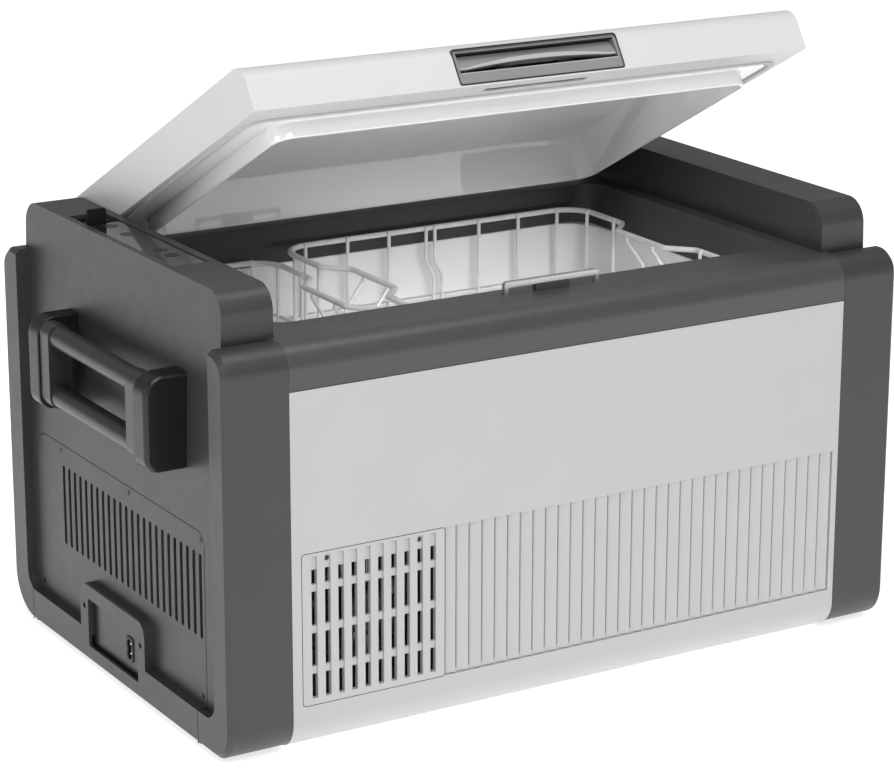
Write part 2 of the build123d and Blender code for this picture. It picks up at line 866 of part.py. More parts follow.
# ---------------------------------------------------------------- cooling machine
compressor_x, compressor_y = machine_right_x - 76, half_depth - 128
compressor_radius = 52.0
compressor_low = 20.0
compressor_high = 148.0
mount_half_x, mount_half_y = 52.0, 62.0
fan_x = (grille_left_x + grille_right_x) / 2
fan_z = (field_low + field_high) / 2
fan_size = 120.0
fan_front_y = -half_depth + skin + 6
fan_depth = 25.0
rotor_radius = 54.0
rotor_hub = 19.0
blade_count = 7


def compressor():
    shell = rod_z(compressor_x, compressor_y, compressor_radius, compressor_low, compressor_high)
    shell = fillet(shell.faces().sort_by(Axis.Z)[-1].edges(), 26)
    shell = fillet(shell.faces().sort_by(Axis.Z)[0].edges(), 12)
    seam_z = compressor_low + 82
    shell += rod_z(compressor_x, compressor_y, compressor_radius + 2.5, seam_z, seam_z + 3)
    return shell + block(
        compressor_x - compressor_radius - 14, compressor_x, compressor_y - 16, compressor_y + 16, 60, 96
    )


def compressor_bracket():
    plate = rounded_block(
        compressor_x - mount_half_x - 12,
        compressor_x + mount_half_x + 12,
        compressor_y - mount_half_y - 12,
        compressor_y + mount_half_y + 12,
        compressor_low - 2.5,
        compressor_low,
        10,
    )
    for sx in (-1, 1):
        for sy in (-1, 1):
            x, y = compressor_x + sx * mount_half_x, compressor_y + sy * mount_half_y
            plate -= rod_z(x, y, 5, compressor_low - 4, compressor_low + 1)
    return plate


def compressor_mounts():
    mounts = []
    for sx in (-1, 1):
        for sy in (-1, 1):
            x, y = compressor_x + sx * mount_half_x, compressor_y + sy * mount_half_y
            grommet = rod_z(x, y, 9, floor_skin, compressor_low - 2.5) + rod_z(
                x, y, 4.9, compressor_low - 2.5, compressor_low + 2
            )
            mounts.append(grommet)
    return group(mounts)


condenser_front_y = fan_front_y + fan_depth + 4
condenser_depth = 24.0
fin_count = 20


def condenser():
    width, height = 112.0, 112.0
    low = fan_z - height / 2
    pitch = width / (fin_count - 1)
    core = None
    for i in range(fin_count):
        x = fan_x - width / 2 + i * pitch
        fin = block(x - 0.6, x + 0.6, condenser_front_y, condenser_front_y + condenser_depth, low, low + height)
        core = fin if core is None else core + fin
    for row in range(5):
        z = low + 12 + row * 22
        core += rod_x(
            condenser_front_y + condenser_depth / 2, z, 3.5, fan_x - width / 2 - 6, fan_x + width / 2 + 6
        )
    return core


def fan_frame():
    half = fan_size / 2
    rear_y = fan_front_y + fan_depth
    frame = prism_y(
        rectangle(fan_x - half, fan_x + half, fan_z - half, fan_z + half, 8), fan_front_y, rear_y
    )
    frame -= rod_y(fan_x, fan_z, rotor_radius + 2, fan_front_y - 1, rear_y + 1)
    frame += rod_y(fan_x, fan_z, rotor_hub, rear_y - 4, rear_y)
    for turn in range(4):
        strut = block(0, rotor_radius + 4, rear_y - 3.5, rear_y - 0.5, -2, 2)
        frame += Pos(fan_x, 0, fan_z) * (Rot(0, 45 + 90 * turn, 0) * strut)
    return frame + rod_y(fan_x, fan_z, 2.0, fan_front_y + 6, rear_y - 3)


def fan_rotor():
    front_y = fan_front_y + 3
    rear_y = fan_front_y + fan_depth - 5.5
    rotor = rod_y(0, 0, rotor_hub, front_y, rear_y)
    middle_y = (front_y + rear_y) / 2
    blade_depth = (rear_y - front_y) * 0.8
    for i in range(blade_count):
        blade = block(rotor_hub - 2, rotor_radius, -blade_depth * 0.62, blade_depth * 0.62, -0.8, 0.8)
        blade = Pos(0, middle_y, 0) * (Rot(38, 0, 0) * blade)
        rotor += Rot(0, 360 * i / blade_count, 0) * blade
    rotor &= rod_y(0, 0, rotor_radius, front_y, rear_y)
    rotor -= rod_y(0, 0, 2.0 + running_clearance, fan_front_y + 5.5, rear_y + 1)
    return Pos(fan_x, 0, fan_z) * rotor


def control_module():
    left, front = -cavity_x + 8, -half_depth + 100
    box = rounded_block(left, left + 24, front, front + 110, 60, 164, 4)
    fins = None
    for i in range(9):
        y = front + 8 + i * 11.5
        fin = block(left - 4, left + 1, y, y + 3, 64, 160)
        fins = fin if fins is None else fins + fin
    return box + fins


def filter_drier():
    x, front = -cavity_x + 26, -half_depth + 60
    return rod_y(x, 34, 9, front, front + 80) + rod_y(x, 34, 3.4, front - 12, front + 92)


def pipe(points, radius, bend):
    """A tube of straight runs and arcs."""
    path = FilletPolyline(*points, radius=bend)
    start = path @ 0
    ahead = path % 0
    return sweep(Plane(origin=start, z_dir=ahead) * Circle(radius), path=path)


def refrigerant_tubes():
    """The hot gas line to the condenser and the suction line out of the insulation."""
    foot_y = condenser_front_y + condenser_depth / 2 + 30
    hot_x = compressor_x + compressor_radius + 10
    hot_low, hot_high = 60, 158
    hot_run = [
        (hot_x - 9.5, compressor_y, hot_low),
        (hot_x, compressor_y, hot_low),
        (hot_x, foot_y, hot_low),
        (hot_x, foot_y, hot_high),
    ]
    back_y = half_depth - 50
    cold_x = compressor_x + compressor_radius + 1
    start_y = compressor_y + compressor_radius + 1.2
    cold_low, cold_high = 70, 165
    cold_run = [
        (compressor_x, start_y, cold_low),
        (compressor_x, back_y, cold_low),
        (cold_x, back_y, cold_low),
        (cold_x, back_y, cold_high),
    ]
    return group([pipe(hot_run, 3, 5), pipe(cold_run, 4, 9)])


# ---------------------------------------------------------------- baskets
def basket(left_x, right_x, low, high):
    """A plain open-topped tray with the basket's outer shape."""
    outer = rounded_block(left_x, right_x, -basket_rear_y, basket_rear_y, low, high, basket_radius)
    outer = fillet(outer.faces().sort_by(Axis.Z)[0].edges(), tub_floor_radius + 2)
    inner = rounded_block(
        left_x + basket_wall,
        right_x - basket_wall,
        -basket_rear_y + basket_wall,
        basket_rear_y - basket_wall,
        low + basket_wall,
        high + 1,
        basket_radius - basket_wall,
    )
    inner = fillet(inner.faces().sort_by(Axis.Z)[0].edges(), tub_floor_radius - 2)
    return outer - inner


# ---------------------------------------------------------------- handles
def handle_bracket(side, blank):
    """The left handle's bracket at its front (side -1) or rear (side 1) end, cut to sit on the end frame."""
    inner = handle_y + side * handle_span / 2
    outer = inner + side * bracket_width
    root_x = -ear_inner_x - 30
    body = prism_y(
        [
            (-bracket_out_x, bracket_low, 13),
            (root_x, bracket_low, 0),
            (root_x, bracket_high, 0),
            (-bracket_out_x, bracket_high, 17),
        ],
        min(inner, outer),
        max(inner, outer),
    )
    body = (body - blank - end_cavity()).solids().sort_by(Axis.X)[0]
    far_face = body.faces().sort_by(Axis.Y)[0 if side < 0 else -1]
    body = fillet([edge for edge in far_face.edges() if edge.center().X < -ear_out_x - end_draft], bracket_round)
    y0, y1 = sorted((inner - side, inner + side * rod_seat))
    return body - rod_y(-handle_pivot_x, handle_pivot_z, handle_rod_radius + 0.02, y0, y1)


def handle_rod():
    reach = handle_span / 2 + rod_seat - 0.5
    return rod_y(-handle_pivot_x, handle_pivot_z, handle_rod_radius, handle_y - reach, handle_y + reach)


def handle_loop():
    side_gap = 0.8
    half = handle_span / 2 - side_gap
    plate_radius = handle_bar_radius + 1.2
    low_z = handle_pivot_z - handle_bar_spacing
    loop = rod_y(-handle_pivot_x, handle_pivot_z, handle_bar_radius, handle_y - half, handle_y + half)
    loop += rod_y(-handle_pivot_x, low_z, handle_bar_radius, handle_y - half, handle_y + half)
    plate = [
        (-handle_pivot_x - plate_radius, low_z - plate_radius, plate_radius - 0.2),
        (-handle_pivot_x + plate_radius, low_z - plate_radius, plate_radius - 0.2),
        (-handle_pivot_x + plate_radius, handle_pivot_z + plate_radius, plate_radius - 0.2),
        (-handle_pivot_x - plate_radius, handle_pivot_z + plate_radius, plate_radius - 0.2),
    ]
    loop += prism_y(plate, handle_y - half, handle_y - half + handle_plate_width)
    loop += prism_y(plate, handle_y + half - handle_plate_width, handle_y + half)
    bore = handle_rod_radius + running_clearance
    return loop - rod_y(-handle_pivot_x, handle_pivot_z, bore, handle_y - half - 1, handle_y + half + 1)


# ---------------------------------------------------------------- controls
tray_top = ear_height - lens_sink - lens_thickness
tray_low = tray_top - 13
tray_gap = 0.3
lens_gap = 0.2
flap_axis_z = tray_top + usb_cover_thickness / 2 + 0.3
flap_pin_radius = 0.5


def control_tray():
    x0, x1 = -panel_out_x + tray_gap, -panel_in_x - tray_gap
    y0, y1 = panel_front_y + tray_gap, panel_rear_y - tray_gap
    tray = block(x0, x1, y0, y1, tray_low, tray_top)
    tray -= block(x0 + 2, x1 - 2, y0 + 2, lens_rear_y - 2, tray_low + 2, tray_top + 1)
    tray -= block(x0 + 2, x1 - 2, usb_cover_y + 4, y1 - 2, tray_low + 3, tray_top + 1)
    for y in (-70.0, 0.0, 60.0):
        for x in (x0 + 3.3, x1 - 3.2):
            tray += block(x - 1.5, x + 1.5, y - 3, y + 3, tray_low + 1, tray_low + 6)
    half = usb_cover_width / 2
    for side in (-1, 1):
        lug_x = usb_cover_x + side * (half + 1.3)
        tray += block(
            lug_x - 1, lug_x + 1, usb_cover_y - 1.5, usb_cover_y + 1.5, tray_top - 1, flap_axis_z + 1.2
        )
    return tray + rod_x(usb_cover_y, flap_axis_z, flap_pin_radius, usb_cover_x - half - 1, usb_cover_x + half + 1)


def control_lens():
    lens = prism_z(
        rectangle(
            -panel_out_x + lens_gap,
            -panel_in_x - lens_gap,
            panel_front_y + lens_gap,
            lens_rear_y,
            1.5,
        ),
        tray_top,
        tray_top + lens_thickness,
    )
    for y in button_rows.values():
        lens -= rod_z(button_x, y, button_radius + button_clearance, tray_top - 1, ear_height)
    return lens


def display_board():
    x0, x1 = -panel_out_x + 2.5, -panel_in_x - 2.5
    return block(x0, x1, panel_front_y + 4, lens_rear_y - 4, tray_low + 6, tray_low + 7.6)


def button(y):
    top = tray_top + lens_thickness + button_rise
    cap = rod_z(button_x, y, button_radius, tray_top - button_travel - 1.6, top)
    return fillet(cap.faces().sort_by(Axis.Z)[-1].edges(), 0.4)


def usb_socket():
    body = block(usb_cover_x - 8, usb_cover_x + 8, usb_cover_y + 7, usb_cover_y + 15, tray_low + 3, tray_top - 2)
    return body - block(
        usb_cover_x - 6.2, usb_cover_x + 6.2, usb_cover_y + 8.7, usb_cover_y + 13.3, tray_low + 5, tray_top
    )


def usb_cover():
    half = usb_cover_width / 2
    thick = usb_cover_thickness / 2
    flap = prism_y(
        rectangle(
            usb_cover_x - half, usb_cover_x + half, flap_axis_z, flap_axis_z + usb_cover_height, 2.5
        ),
        usb_cover_y - thick,
        usb_cover_y + thick,
    )
    flap += block(
        usb_cover_x - half,
        usb_cover_x + half,
        usb_cover_y - thick,
        usb_cover_y + thick,
        flap_axis_z,
        flap_axis_z + 4,
    )
    flap += rod_x(usb_cover_y, flap_axis_z, thick, usb_cover_x - half, usb_cover_x + half)
    bore = flap_pin_radius + running_clearance
    return flap - rod_x(usb_cover_y, flap_axis_z, bore, usb_cover_x - half - 1, usb_cover_x + half + 1)


# ---------------------------------------------------------------- lid, drawn closed
def opened(shape):
    """Turns a piece of the lid from closed to the angle that the lid rests at."""
    return Pos(0, hinge_y, hinge_z) * (Rot(-lid_open_angle, 0, 0) * (Pos(0, -hinge_y, -hinge_z) * shape))


def lid_profile(inset):
    """The lid's side view. inset moves every face inwards."""
    low, high = lid_low + inset, lid_high - inset
    foot = ear_front_y + inset + inset * lean
    return [
        (foot, low, 0.8 if inset == 0 else 0),
        (ear_rear_y - inset, low, lid_hinge_radius - inset),
        (ear_rear_y - inset, high, lid_rear_radius - inset),
        (foot + (high - low) * lean, high, lid_front_radius - inset),
    ]


def face_y(height):
    """Where the lid's leaning front face is, at a height above the lid's underside."""
    return ear_front_y + height * lean


latch_half = latch_length / 2
latch_back_y = ear_front_y + latch_depth


def latch_room(grow):
    low, high = latch_low - grow, latch_low + latch_height + grow
    return prism_x(
        [
            (face_y(low) - 3, lid_low + low, 0),
            (latch_back_y + grow, lid_low + low, 0),
            (latch_back_y + grow, lid_low + high, 0),
            (face_y(high) - 3, lid_low + high, 0),
        ],
        -latch_half - grow,
        latch_half + grow,
    )


hook_slot = (-striker_length / 2 - 3, striker_length / 2 + 3, striker_y - 12.2, striker_y + 4.5)


def lid_shell():
    shell = prism_x(lid_profile(0), -lid_x, lid_x)
    shell -= prism_x(lid_profile(lid_wall), -lid_x + lid_wall, lid_x - lid_wall)
    shell -= rounded_block(
        -lid_flange_x, lid_flange_x, -lid_flange_y, lid_flange_y, lid_low - 1, lid_low + lid_wall + 1, ring_radius
    )
    shell -= latch_room(fit_gap)
    x0, x1, y0, y1 = hook_slot
    shell -= block(x0, x1, y0, y1, lid_low - 1, lid_low + lid_wall + 1)
    shell -= rod_x(hinge_y, hinge_z, hinge_bush_radius + 0.02, -lid_x - 1, lid_x + 1)
    return shell


def ring_funnel(grow):
    """The hollow inside the lid's ring, narrowing upwards."""
    low = (ring_x - liner_wall + grow, ring_y - liner_wall + grow, ring_radius - 2 + grow, ring_low - 1)
    high_z = lid_low + lid_recess_rise + grow
    high = (ring_x - ring_draw + grow, ring_y - ring_draw + grow, ring_radius - 2 + grow, high_z)
    return funnel(low, high)


def lid_liner():
    liner = rounded_block(
        -lid_flange_x + fit_gap,
        lid_flange_x - fit_gap,
        -lid_flange_y + fit_gap,
        lid_flange_y - fit_gap,
        lid_low,
        lid_low + liner_wall,
        ring_radius - fit_gap,
    )
    liner += rounded_block(-ring_x, ring_x, -ring_y, ring_y, ring_low, lid_low + 1, ring_radius)
    liner += ring_funnel(liner_wall) & block(-ring_x, ring_x, -ring_y, ring_y, lid_low, lid_high)
    return liner - ring_funnel(0)


def lid_foam():
    gap = 0.3
    foam = prism_x(lid_profile(lid_wall + gap), -lid_x + lid_wall + gap, lid_x - lid_wall - gap)
    foam -= rounded_block(
        -lid_flange_x - 1, lid_flange_x + 1, -lid_flange_y - 1, lid_flange_y + 1, lid_low, lid_low + 4, ring_radius
    )
    foam -= ring_funnel(liner_wall + gap)
    foam -= latch_room(1.0)
    for side in (-1, 1):
        x0, x1 = sorted((side * (lid_x + 1), side * (lid_x - hinge_bush_length - 10)))
        foam -= block(x0, x1, hinge_y - 12, hinge_y + 20, lid_low, lid_high)
    x0, x1, y0, y1 = hook_slot
    return foam - block(x0, x1, y0, y1, lid_low, lid_low + latch_height)


def lid_gasket():
    low, high = rim_height + 0.2, lid_low
    inner_x, inner_y = lid_flange_x + 1, lid_flange_y + 1
    outer = rounded_block(
        -inner_x - gasket_width,
        inner_x + gasket_width,
        -inner_y - gasket_width,
        inner_y + gasket_width,
        low,
        high,
        ring_radius + 2,
    )
    return outer - rounded_block(-inner_x, inner_x, -inner_y, inner_y, low - 1, high + 1, ring_radius - 2)


def hinge_pins():
    start = -ear_inner_x - ear_wall - 7
    return both_ends(rod_x(hinge_y, hinge_z, hinge_pin_radius, start, -lid_x + hinge_bush_length - 1))


def hinge_bushes():
    bush = rod_x(hinge_y, hinge_z, hinge_bush_radius, -lid_x, -lid_x + hinge_bush_length)
    bush -= rod_x(hinge_y, hinge_z, hinge_pin_radius + running_clearance, -lid_x - 1, -lid_x + hinge_bush_length)
    return both_ends(bush)


def latch_housing():
    body = latch_room(0) & prism_x(lid_profile(0), -lid_x, lid_x)
    low, high = lid_low + lever_low, lid_low + lever_low + lever_height
    body -= block(-latch_half + 3, latch_half - 3, ear_front_y - 5, latch_back_y - 2, low, high)
    x0, x1, y0, y1 = hook_slot
    body -= block(x0 + 1, x1 - 1, y0 - 1.5, y1, lid_low, low + 1)
    return body - rod_x(lever_pivot_y, lever_pivot_z, lever_pin_radius + 0.02, -latch_half + 1, latch_half - 1)


def latch_pin():
    return rod_x(lever_pivot_y, lever_pivot_z, lever_pin_radius, -latch_half + 1, latch_half - 1)


def pulled(shape):
    """Turns the lever and its hooks from home to where they rest."""
    pivot = Pos(0, lever_pivot_y, lever_pivot_z)
    return pivot * (Rot(-lever_rest_pull, 0, 0) * (pivot.inverse() * shape))


lever_half = latch_half - 3.6
hook_span = (hook_inner, hook_inner + hook_width)


def latch_lever():
    """A finger flap hung from the pin. Its lower edge is arched."""
    low = lid_low + lever_low + lever_gap
    high = lever_pivot_z + 2.2
    lip = face_y(lever_low) + 3.2
    flap = prism_x(
        [
            (lip, low, 0.8),
            (lip + 4, low, 0.8),
            (lever_pivot_y + 2.6, lever_pivot_z - 3, 1.5),
            (lever_pivot_y + 2.6, high, 1.5),
            (lever_pivot_y - 2.6, high, 1.5),
            (lip + 0.6, low + 5, 3),
        ],
        -lever_half,
        lever_half,
    )
    span = lever_half * 0.9
    radius = (span * span + lever_arch * lever_arch) / (2 * lever_arch)
    flap -= rod_y(0, low + lever_arch - radius, radius, lip - 5, lip + 5.5)
    bore = lever_pin_radius + running_clearance
    flap -= rod_x(lever_pivot_y, lever_pivot_z, bore, -lever_half - 1, lever_half + 1)
    for side in (-1, 1):
        x0, x1 = sorted((side * (hook_span[0] - 0.1), side * (hook_span[1] + 0.1)))
        flap -= block(x0, x1, lever_pivot_y - 1.0, lever_pivot_y + 6, low - 1, lever_pivot_z + 4)
    return flap


def latch_hook():
    """Two steel hooks joined by a strap behind the lever. Each catches under the striker's bow."""
    bar_low = striker_top - striker_bar
    front_y = striker_y - striker_bar / 2
    arm_y = front_y - 3.4
    arm = [
        (lever_pivot_y - 0.9, lever_pivot_z + 2.4, 0),
        (arm_y, bar_low + 5, 0),
        (arm_y, bar_low - 3.6, 0),
        (front_y + hook_reach, bar_low - 3.6, 1),
        (front_y + hook_reach, bar_low - 1.4, 0),
        (front_y - 0.6, bar_low - 0.5, 0),
        (front_y - 0.6, bar_low + 7, 0),
        (lever_pivot_y + 3.4, bar_low + 12, 0),
        (lever_pivot_y + 3.4, lever_pivot_z + 2.4, 0),
    ]
    hook = None
    for side in (-1, 1):
        x0, x1 = sorted((side * hook_span[0], side * hook_span[1]))
        finger = prism_x(arm, x0, x1)
        hook = finger if hook is None else hook + finger
    half = hook_inner + 1
    front, rear = lever_pivot_y + 2.7, lever_pivot_y + 4.2
    hook += block(-half, half, front, rear, bar_low + 12.5, lever_pivot_z - 2)
    bore = lever_pin_radius + running_clearance
    return hook - rod_x(lever_pivot_y, lever_pivot_z, bore, -latch_half, latch_half)


# ---------------------------------------------------------------- the whole set
def put_away(name, shape):
    """Writes one piece, standing on the feet."""
    export_step(Pos(0, 0, foot_height) * shape, f"parts/{name}.step")


def main():
    os.makedirs("parts", exist_ok=True)
    blank = end_blank()
    other_end = lambda shape: mirror(shape, about=Plane.YZ)

    put_away("end_frame_left", end_frame_left(blank))
    put_away("end_frame_right", other_end(plain_end_frame(blank)))
    put_away("ear_plugs", ear_plugs())
    put_away("service_cover", service_cover(blank))
    put_away("cover_screws", cover_screws())
    put_away("socket_plate", socket_plate())
    put_away("ac_inlet", ac_inlet())
    put_away("ac_inlet_pins", ac_inlet_pins())

    put_away("front_panel", front_panel())
    put_away("front_grille", front_grille())
    put_away("grille_screws", grille_screws())
    put_away("rear_panel", rear_panel())
    put_away("base_pan", base_pan())
    put_away("rubber_feet", rubber_feet())

    put_away("top_rim", top_rim())
    put_away("striker", striker())
    put_away("inner_tub", inner_tub())
    put_away("foam_insulation", foam_insulation())
    put_away("evaporator", evaporator())
    put_away("machine_partition", machine_partition())

    put_away("compressor", compressor())
    put_away("compressor_bracket", compressor_bracket())
    put_away("compressor_mounts", compressor_mounts())
    put_away("condenser", condenser())
    put_away("fan_frame", fan_frame())
    put_away("fan_rotor", fan_rotor())
    put_away("control_module", control_module())
    put_away("filter_drier", filter_drier())
    put_away("refrigerant_tubes", refrigerant_tubes())

    put_away("basket_large", basket(large_left_x, basket_right_x, deep_floor, large_rim))
    put_away("basket_small", basket(-basket_right_x, small_right_x, shallow_floor, small_rim))

    for place, side in (("front", -1), ("rear", 1)):
        bracket = handle_bracket(side, blank)
        put_away(f"handle_bracket_left_{place}", bracket)
        put_away(f"handle_bracket_right_{place}", other_end(bracket))
    for end, turn in (("left", lambda shape: shape), ("right", other_end)):
        put_away(f"handle_rod_{end}", turn(handle_rod()))
        put_away(f"handle_loop_{end}", turn(handle_loop()))

    put_away("control_tray", control_tray())
    put_away("control_lens", control_lens())
    put_away("display_board", display_board())
    for name, y in button_rows.items():
        put_away(name, button(y))
    put_away("usb_socket", usb_socket())
    put_away("usb_cover", usb_cover())

    put_away("hinge_pins", hinge_pins())
    put_away("hinge_bushes", opened(hinge_bushes()))
    put_away("lid_shell", opened(lid_shell()))
    put_away("lid_liner", opened(lid_liner()))
    put_away("lid_foam", opened(lid_foam()))
    put_away("lid_gasket", opened(lid_gasket()))
    put_away("latch_housing", opened(latch_housing()))
    put_away("latch_pin", opened(latch_pin()))
    put_away("latch_lever", opened(pulled(latch_lever())))
    put_away("latch_hook", opened(pulled(latch_hook())))


main()
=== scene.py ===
"""The looks of a compressor cooler fridge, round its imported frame. Metres, +Z up, the controls at the -X end."""

import json
from math import cos, radians, sin, tan

import bmesh
import bpy
from mathutils import Matrix, Vector

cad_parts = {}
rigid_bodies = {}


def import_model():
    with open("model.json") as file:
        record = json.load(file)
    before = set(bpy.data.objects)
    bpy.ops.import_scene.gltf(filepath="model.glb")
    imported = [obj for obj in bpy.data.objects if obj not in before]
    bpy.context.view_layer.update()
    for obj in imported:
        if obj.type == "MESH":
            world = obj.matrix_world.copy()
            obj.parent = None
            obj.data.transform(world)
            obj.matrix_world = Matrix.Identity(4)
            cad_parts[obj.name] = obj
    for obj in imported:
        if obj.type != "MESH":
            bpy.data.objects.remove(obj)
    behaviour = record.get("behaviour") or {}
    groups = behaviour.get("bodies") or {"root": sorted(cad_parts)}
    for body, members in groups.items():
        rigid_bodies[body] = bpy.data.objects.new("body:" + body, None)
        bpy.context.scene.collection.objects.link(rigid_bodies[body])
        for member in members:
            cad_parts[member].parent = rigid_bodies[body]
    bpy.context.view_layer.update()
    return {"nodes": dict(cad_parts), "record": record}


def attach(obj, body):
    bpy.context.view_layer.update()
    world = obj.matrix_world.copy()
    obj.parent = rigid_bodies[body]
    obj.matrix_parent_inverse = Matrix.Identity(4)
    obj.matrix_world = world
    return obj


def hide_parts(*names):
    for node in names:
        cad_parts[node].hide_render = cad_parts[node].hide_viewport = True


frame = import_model()
scene = bpy.context.scene

MM = 0.001
FLOOR_LIFT = 0.003  # the rubber feet
LID_ANGLE = radians(28)  # the lid rests this far open
HINGE = Vector((0, 0.177, 0.366 + FLOOR_LIFT))


def turned_about(point, angle):
    """A turn about an axis along X through a point."""
    return Matrix.Translation(point) @ Matrix.Rotation(angle, 4, "X") @ Matrix.Translation(-point)


CLOSED_TO_REST = turned_about(HINGE, -LID_ANGLE)


# ---------------------------------------------------------------- node materials
class Finish:
    """A node material under construction, with short calls for the nodes that the finishes share."""

    def __init__(self, name, **fixed):
        self.material = bpy.data.materials.new(name)
        self.material.use_nodes = True
        self.tree = self.material.node_tree
        self.shader = self.tree.nodes["Principled BSDF"]
        self.place = self.node("ShaderNodeTexCoord").outputs["Object"]
        for socket, value in fixed.items():
            self.shader.inputs[socket.replace("_", " ")].default_value = value

    def node(self, kind, inputs=None, **settings):
        """Adds a node. An input is a socket to link or a value to set."""
        node = self.tree.nodes.new(kind)
        for key, value in settings.items():
            setattr(node, key, value)
        for key, value in (inputs or {}).items():
            self.feed(node.inputs[key], value)
        return node

    def feed(self, socket, value):
        if isinstance(value, bpy.types.NodeSocket):
            self.tree.links.new(value, socket)
        else:
            socket.default_value = value

    def noise(self, size, detail=3.0, stretch=(1, 1, 1)):
        """Noise whose features are about this size, in metres."""
        spread = self.node("ShaderNodeMapping", {"Vector": self.place, "Scale": stretch})
        inputs = {"Vector": spread.outputs[0], "Scale": 1 / size, "Detail": detail, "Roughness": 0.5}
        return self.node("ShaderNodeTexNoise", inputs).outputs["Fac"]

    def ranged(self, value, low, high, start=0.3, end=0.7):
        """Maps value's start to low and its end to high."""
        inputs = {"Value": value, "From Min": start, "From Max": end, "To Min": low, "To Max": high}
        return self.node("ShaderNodeMapRange", inputs).outputs[0]

    def mixed(self, share, first, second):
        """Two colours mixed, with this share of the second."""
        mix = self.node("ShaderNodeMix", data_type="RGBA")
        self.feed(mix.inputs[0], share)
        self.feed(mix.inputs[6], first)
        self.feed(mix.inputs[7], second)
        return mix.outputs[2]

    def edge(self, width):
        """1 on rounded edges, 0 on flats, from how far a smoothed normal leaves the true one."""
        soft = self.node("ShaderNodeBevel", {"Radius": width}, samples=4).outputs[0]
        true = self.node("ShaderNodeNewGeometry").outputs["Normal"]
        dot = self.node("ShaderNodeVectorMath", {0: soft, 1: true}, operation="DOT_PRODUCT").outputs["Value"]
        return self.ranged(dot, 1.0, 0.0, 0.86, 0.995)

    def bumped(self, height, depth):
        """A normal from a height pattern, this many metres deep."""
        return self.node("ShaderNodeBump", {"Height": height, "Distance": depth, "Strength": 1.0}).outputs[0]

    def finish(self, colour, roughness, normal=None):
        """Feeds the shader and gives back the material."""
        self.feed(self.shader.inputs["Base Color"], colour)
        self.feed(self.shader.inputs["Roughness"], roughness)
        if normal is not None:
            self.feed(self.shader.inputs["Normal"], normal)
        return self.material


def shade(tone, gain=1.0):
    """A neutral colour with a slight cool cast."""
    return (tone * gain, tone * gain * 1.004, tone * gain * 1.012, 1)


GRAIN, WEAR_AND_HIGHLIGHT_EDGE = 0.00045, 0.0012  # the size of the mould's spark-eroded grain, the width of a rubbed edge that also carries a painted highlight


def moulded_plastic(name, tone, roughness, grain_depth=0.00002, mottle=0.06, edge_wear_and_highlight=0.12, **fixed):
    """Injection-moulded plastic: spark-eroded grain, cloudy colour, rounded edges painted paler as wear and as a
    painted highlight.
    """
    look = Finish(name, **fixed)
    cloud = look.noise(0.05, detail=4)
    fine = look.noise(0.004, detail=2)
    patchy = look.mixed(look.ranged(cloud, 0, 1), shade(tone, 1 - mottle), shade(tone, 1 + mottle))
    flecked = look.mixed(look.ranged(fine, 0, 0.25), patchy, shade(tone, 1 - 1.6 * mottle))
    # painted highlight: rounded edges are painted paler, partly for wear and partly for the sheen they catch
    wear_and_highlight_mask = look.node("ShaderNodeMath", {0: look.edge(WEAR_AND_HIGHLIGHT_EDGE), 1: edge_wear_and_highlight}, operation="MULTIPLY").outputs[0]
    wear_and_highlight_colour = look.mixed(wear_and_highlight_mask, flecked, shade(min(1.0, tone * 1.9 + 0.03)))
    rough = look.ranged(look.noise(0.018, detail=3), roughness - 0.02, roughness + 0.03)
    skin = look.bumped(look.noise(GRAIN, detail=2), grain_depth)
    return look.finish(wear_and_highlight_colour, rough, skin)


def polished_liner(name):
    """Vacuum-formed white sheet with a mirror-like skin."""
    look = Finish(name, IOR=1.62, Specular_IOR_Level=0.9)
    colour = look.mixed(look.ranged(look.noise(0.08), 0, 1), shade(0.86), shade(0.89))
    return look.finish(colour, look.ranged(look.noise(0.03), 0.02, 0.05))


def painted_wire(name):
    """Powder-coated steel wire."""
    look = Finish(name, Coat_Weight=0.25, Coat_Roughness=0.25)
    colour = look.mixed(look.ranged(look.noise(0.01), 0, 1), shade(0.76), shade(0.84))
    peel = look.bumped(look.noise(0.0012, detail=2), 0.00004)
    return look.finish(colour, look.ranged(look.noise(0.006), 0.32, 0.44), peel)


def bare_metal(name, colour, roughness=0.28):
    """Drawn or brushed metal, with level brush lines."""
    look = Finish(name, Metallic=1.0)
    lines = look.noise(0.0015, detail=4, stretch=(1, 1, 12))
    tone = look.mixed(look.ranged(lines, 0, 1), [c * 0.86 for c in colour] + [1], [*colour, 1])
    rough = look.ranged(lines, roughness - 0.07, roughness + 0.09)
    return look.finish(tone, rough, look.bumped(lines, 0.00002))


def smoked_lens(name):
    """A glossy dark window with a trace of dust and fine scratches."""
    look = Finish(name, Coat_Weight=0.6, Coat_Roughness=0.04)
    dust = look.noise(0.0022, detail=5)
    streak = look.noise(0.004, detail=3, stretch=(8, 0.6, 1))
    colour = look.mixed(look.ranged(dust, 0, 1, 0.55, 0.8), shade(0.012), shade(0.03))
    return look.finish(colour, look.ranged(streak, 0.06, 0.14), look.bumped(streak, 0.000006))


def soft_rubber(name, tone, bloom=1.7):
    """Matt rubber. Bloom is how much paler its palest patches are."""
    look = Finish(name, Specular_IOR_Level=0.2)
    colour = look.mixed(look.ranged(look.noise(0.006), 0, 1), shade(tone), shade(tone * bloom))
    return look.finish(colour, look.ranged(look.noise(0.003), 0.62, 0.8), look.bumped(look.noise(0.0007), 0.00005))


def insulating_foam(name):
    """Yellowish foam with fine cells."""
    look = Finish(name)
    cells = look.node("ShaderNodeTexVoronoi", {"Vector": look.place, "Scale": 900.0}).outputs["Distance"]
    colour = look.mixed(look.ranged(cells, 0, 1, 0.1, 0.7), (0.55, 0.45, 0.24, 1), (0.72, 0.62, 0.38, 1))
    return look.finish(colour, 0.9, look.bumped(cells, 0.0004))


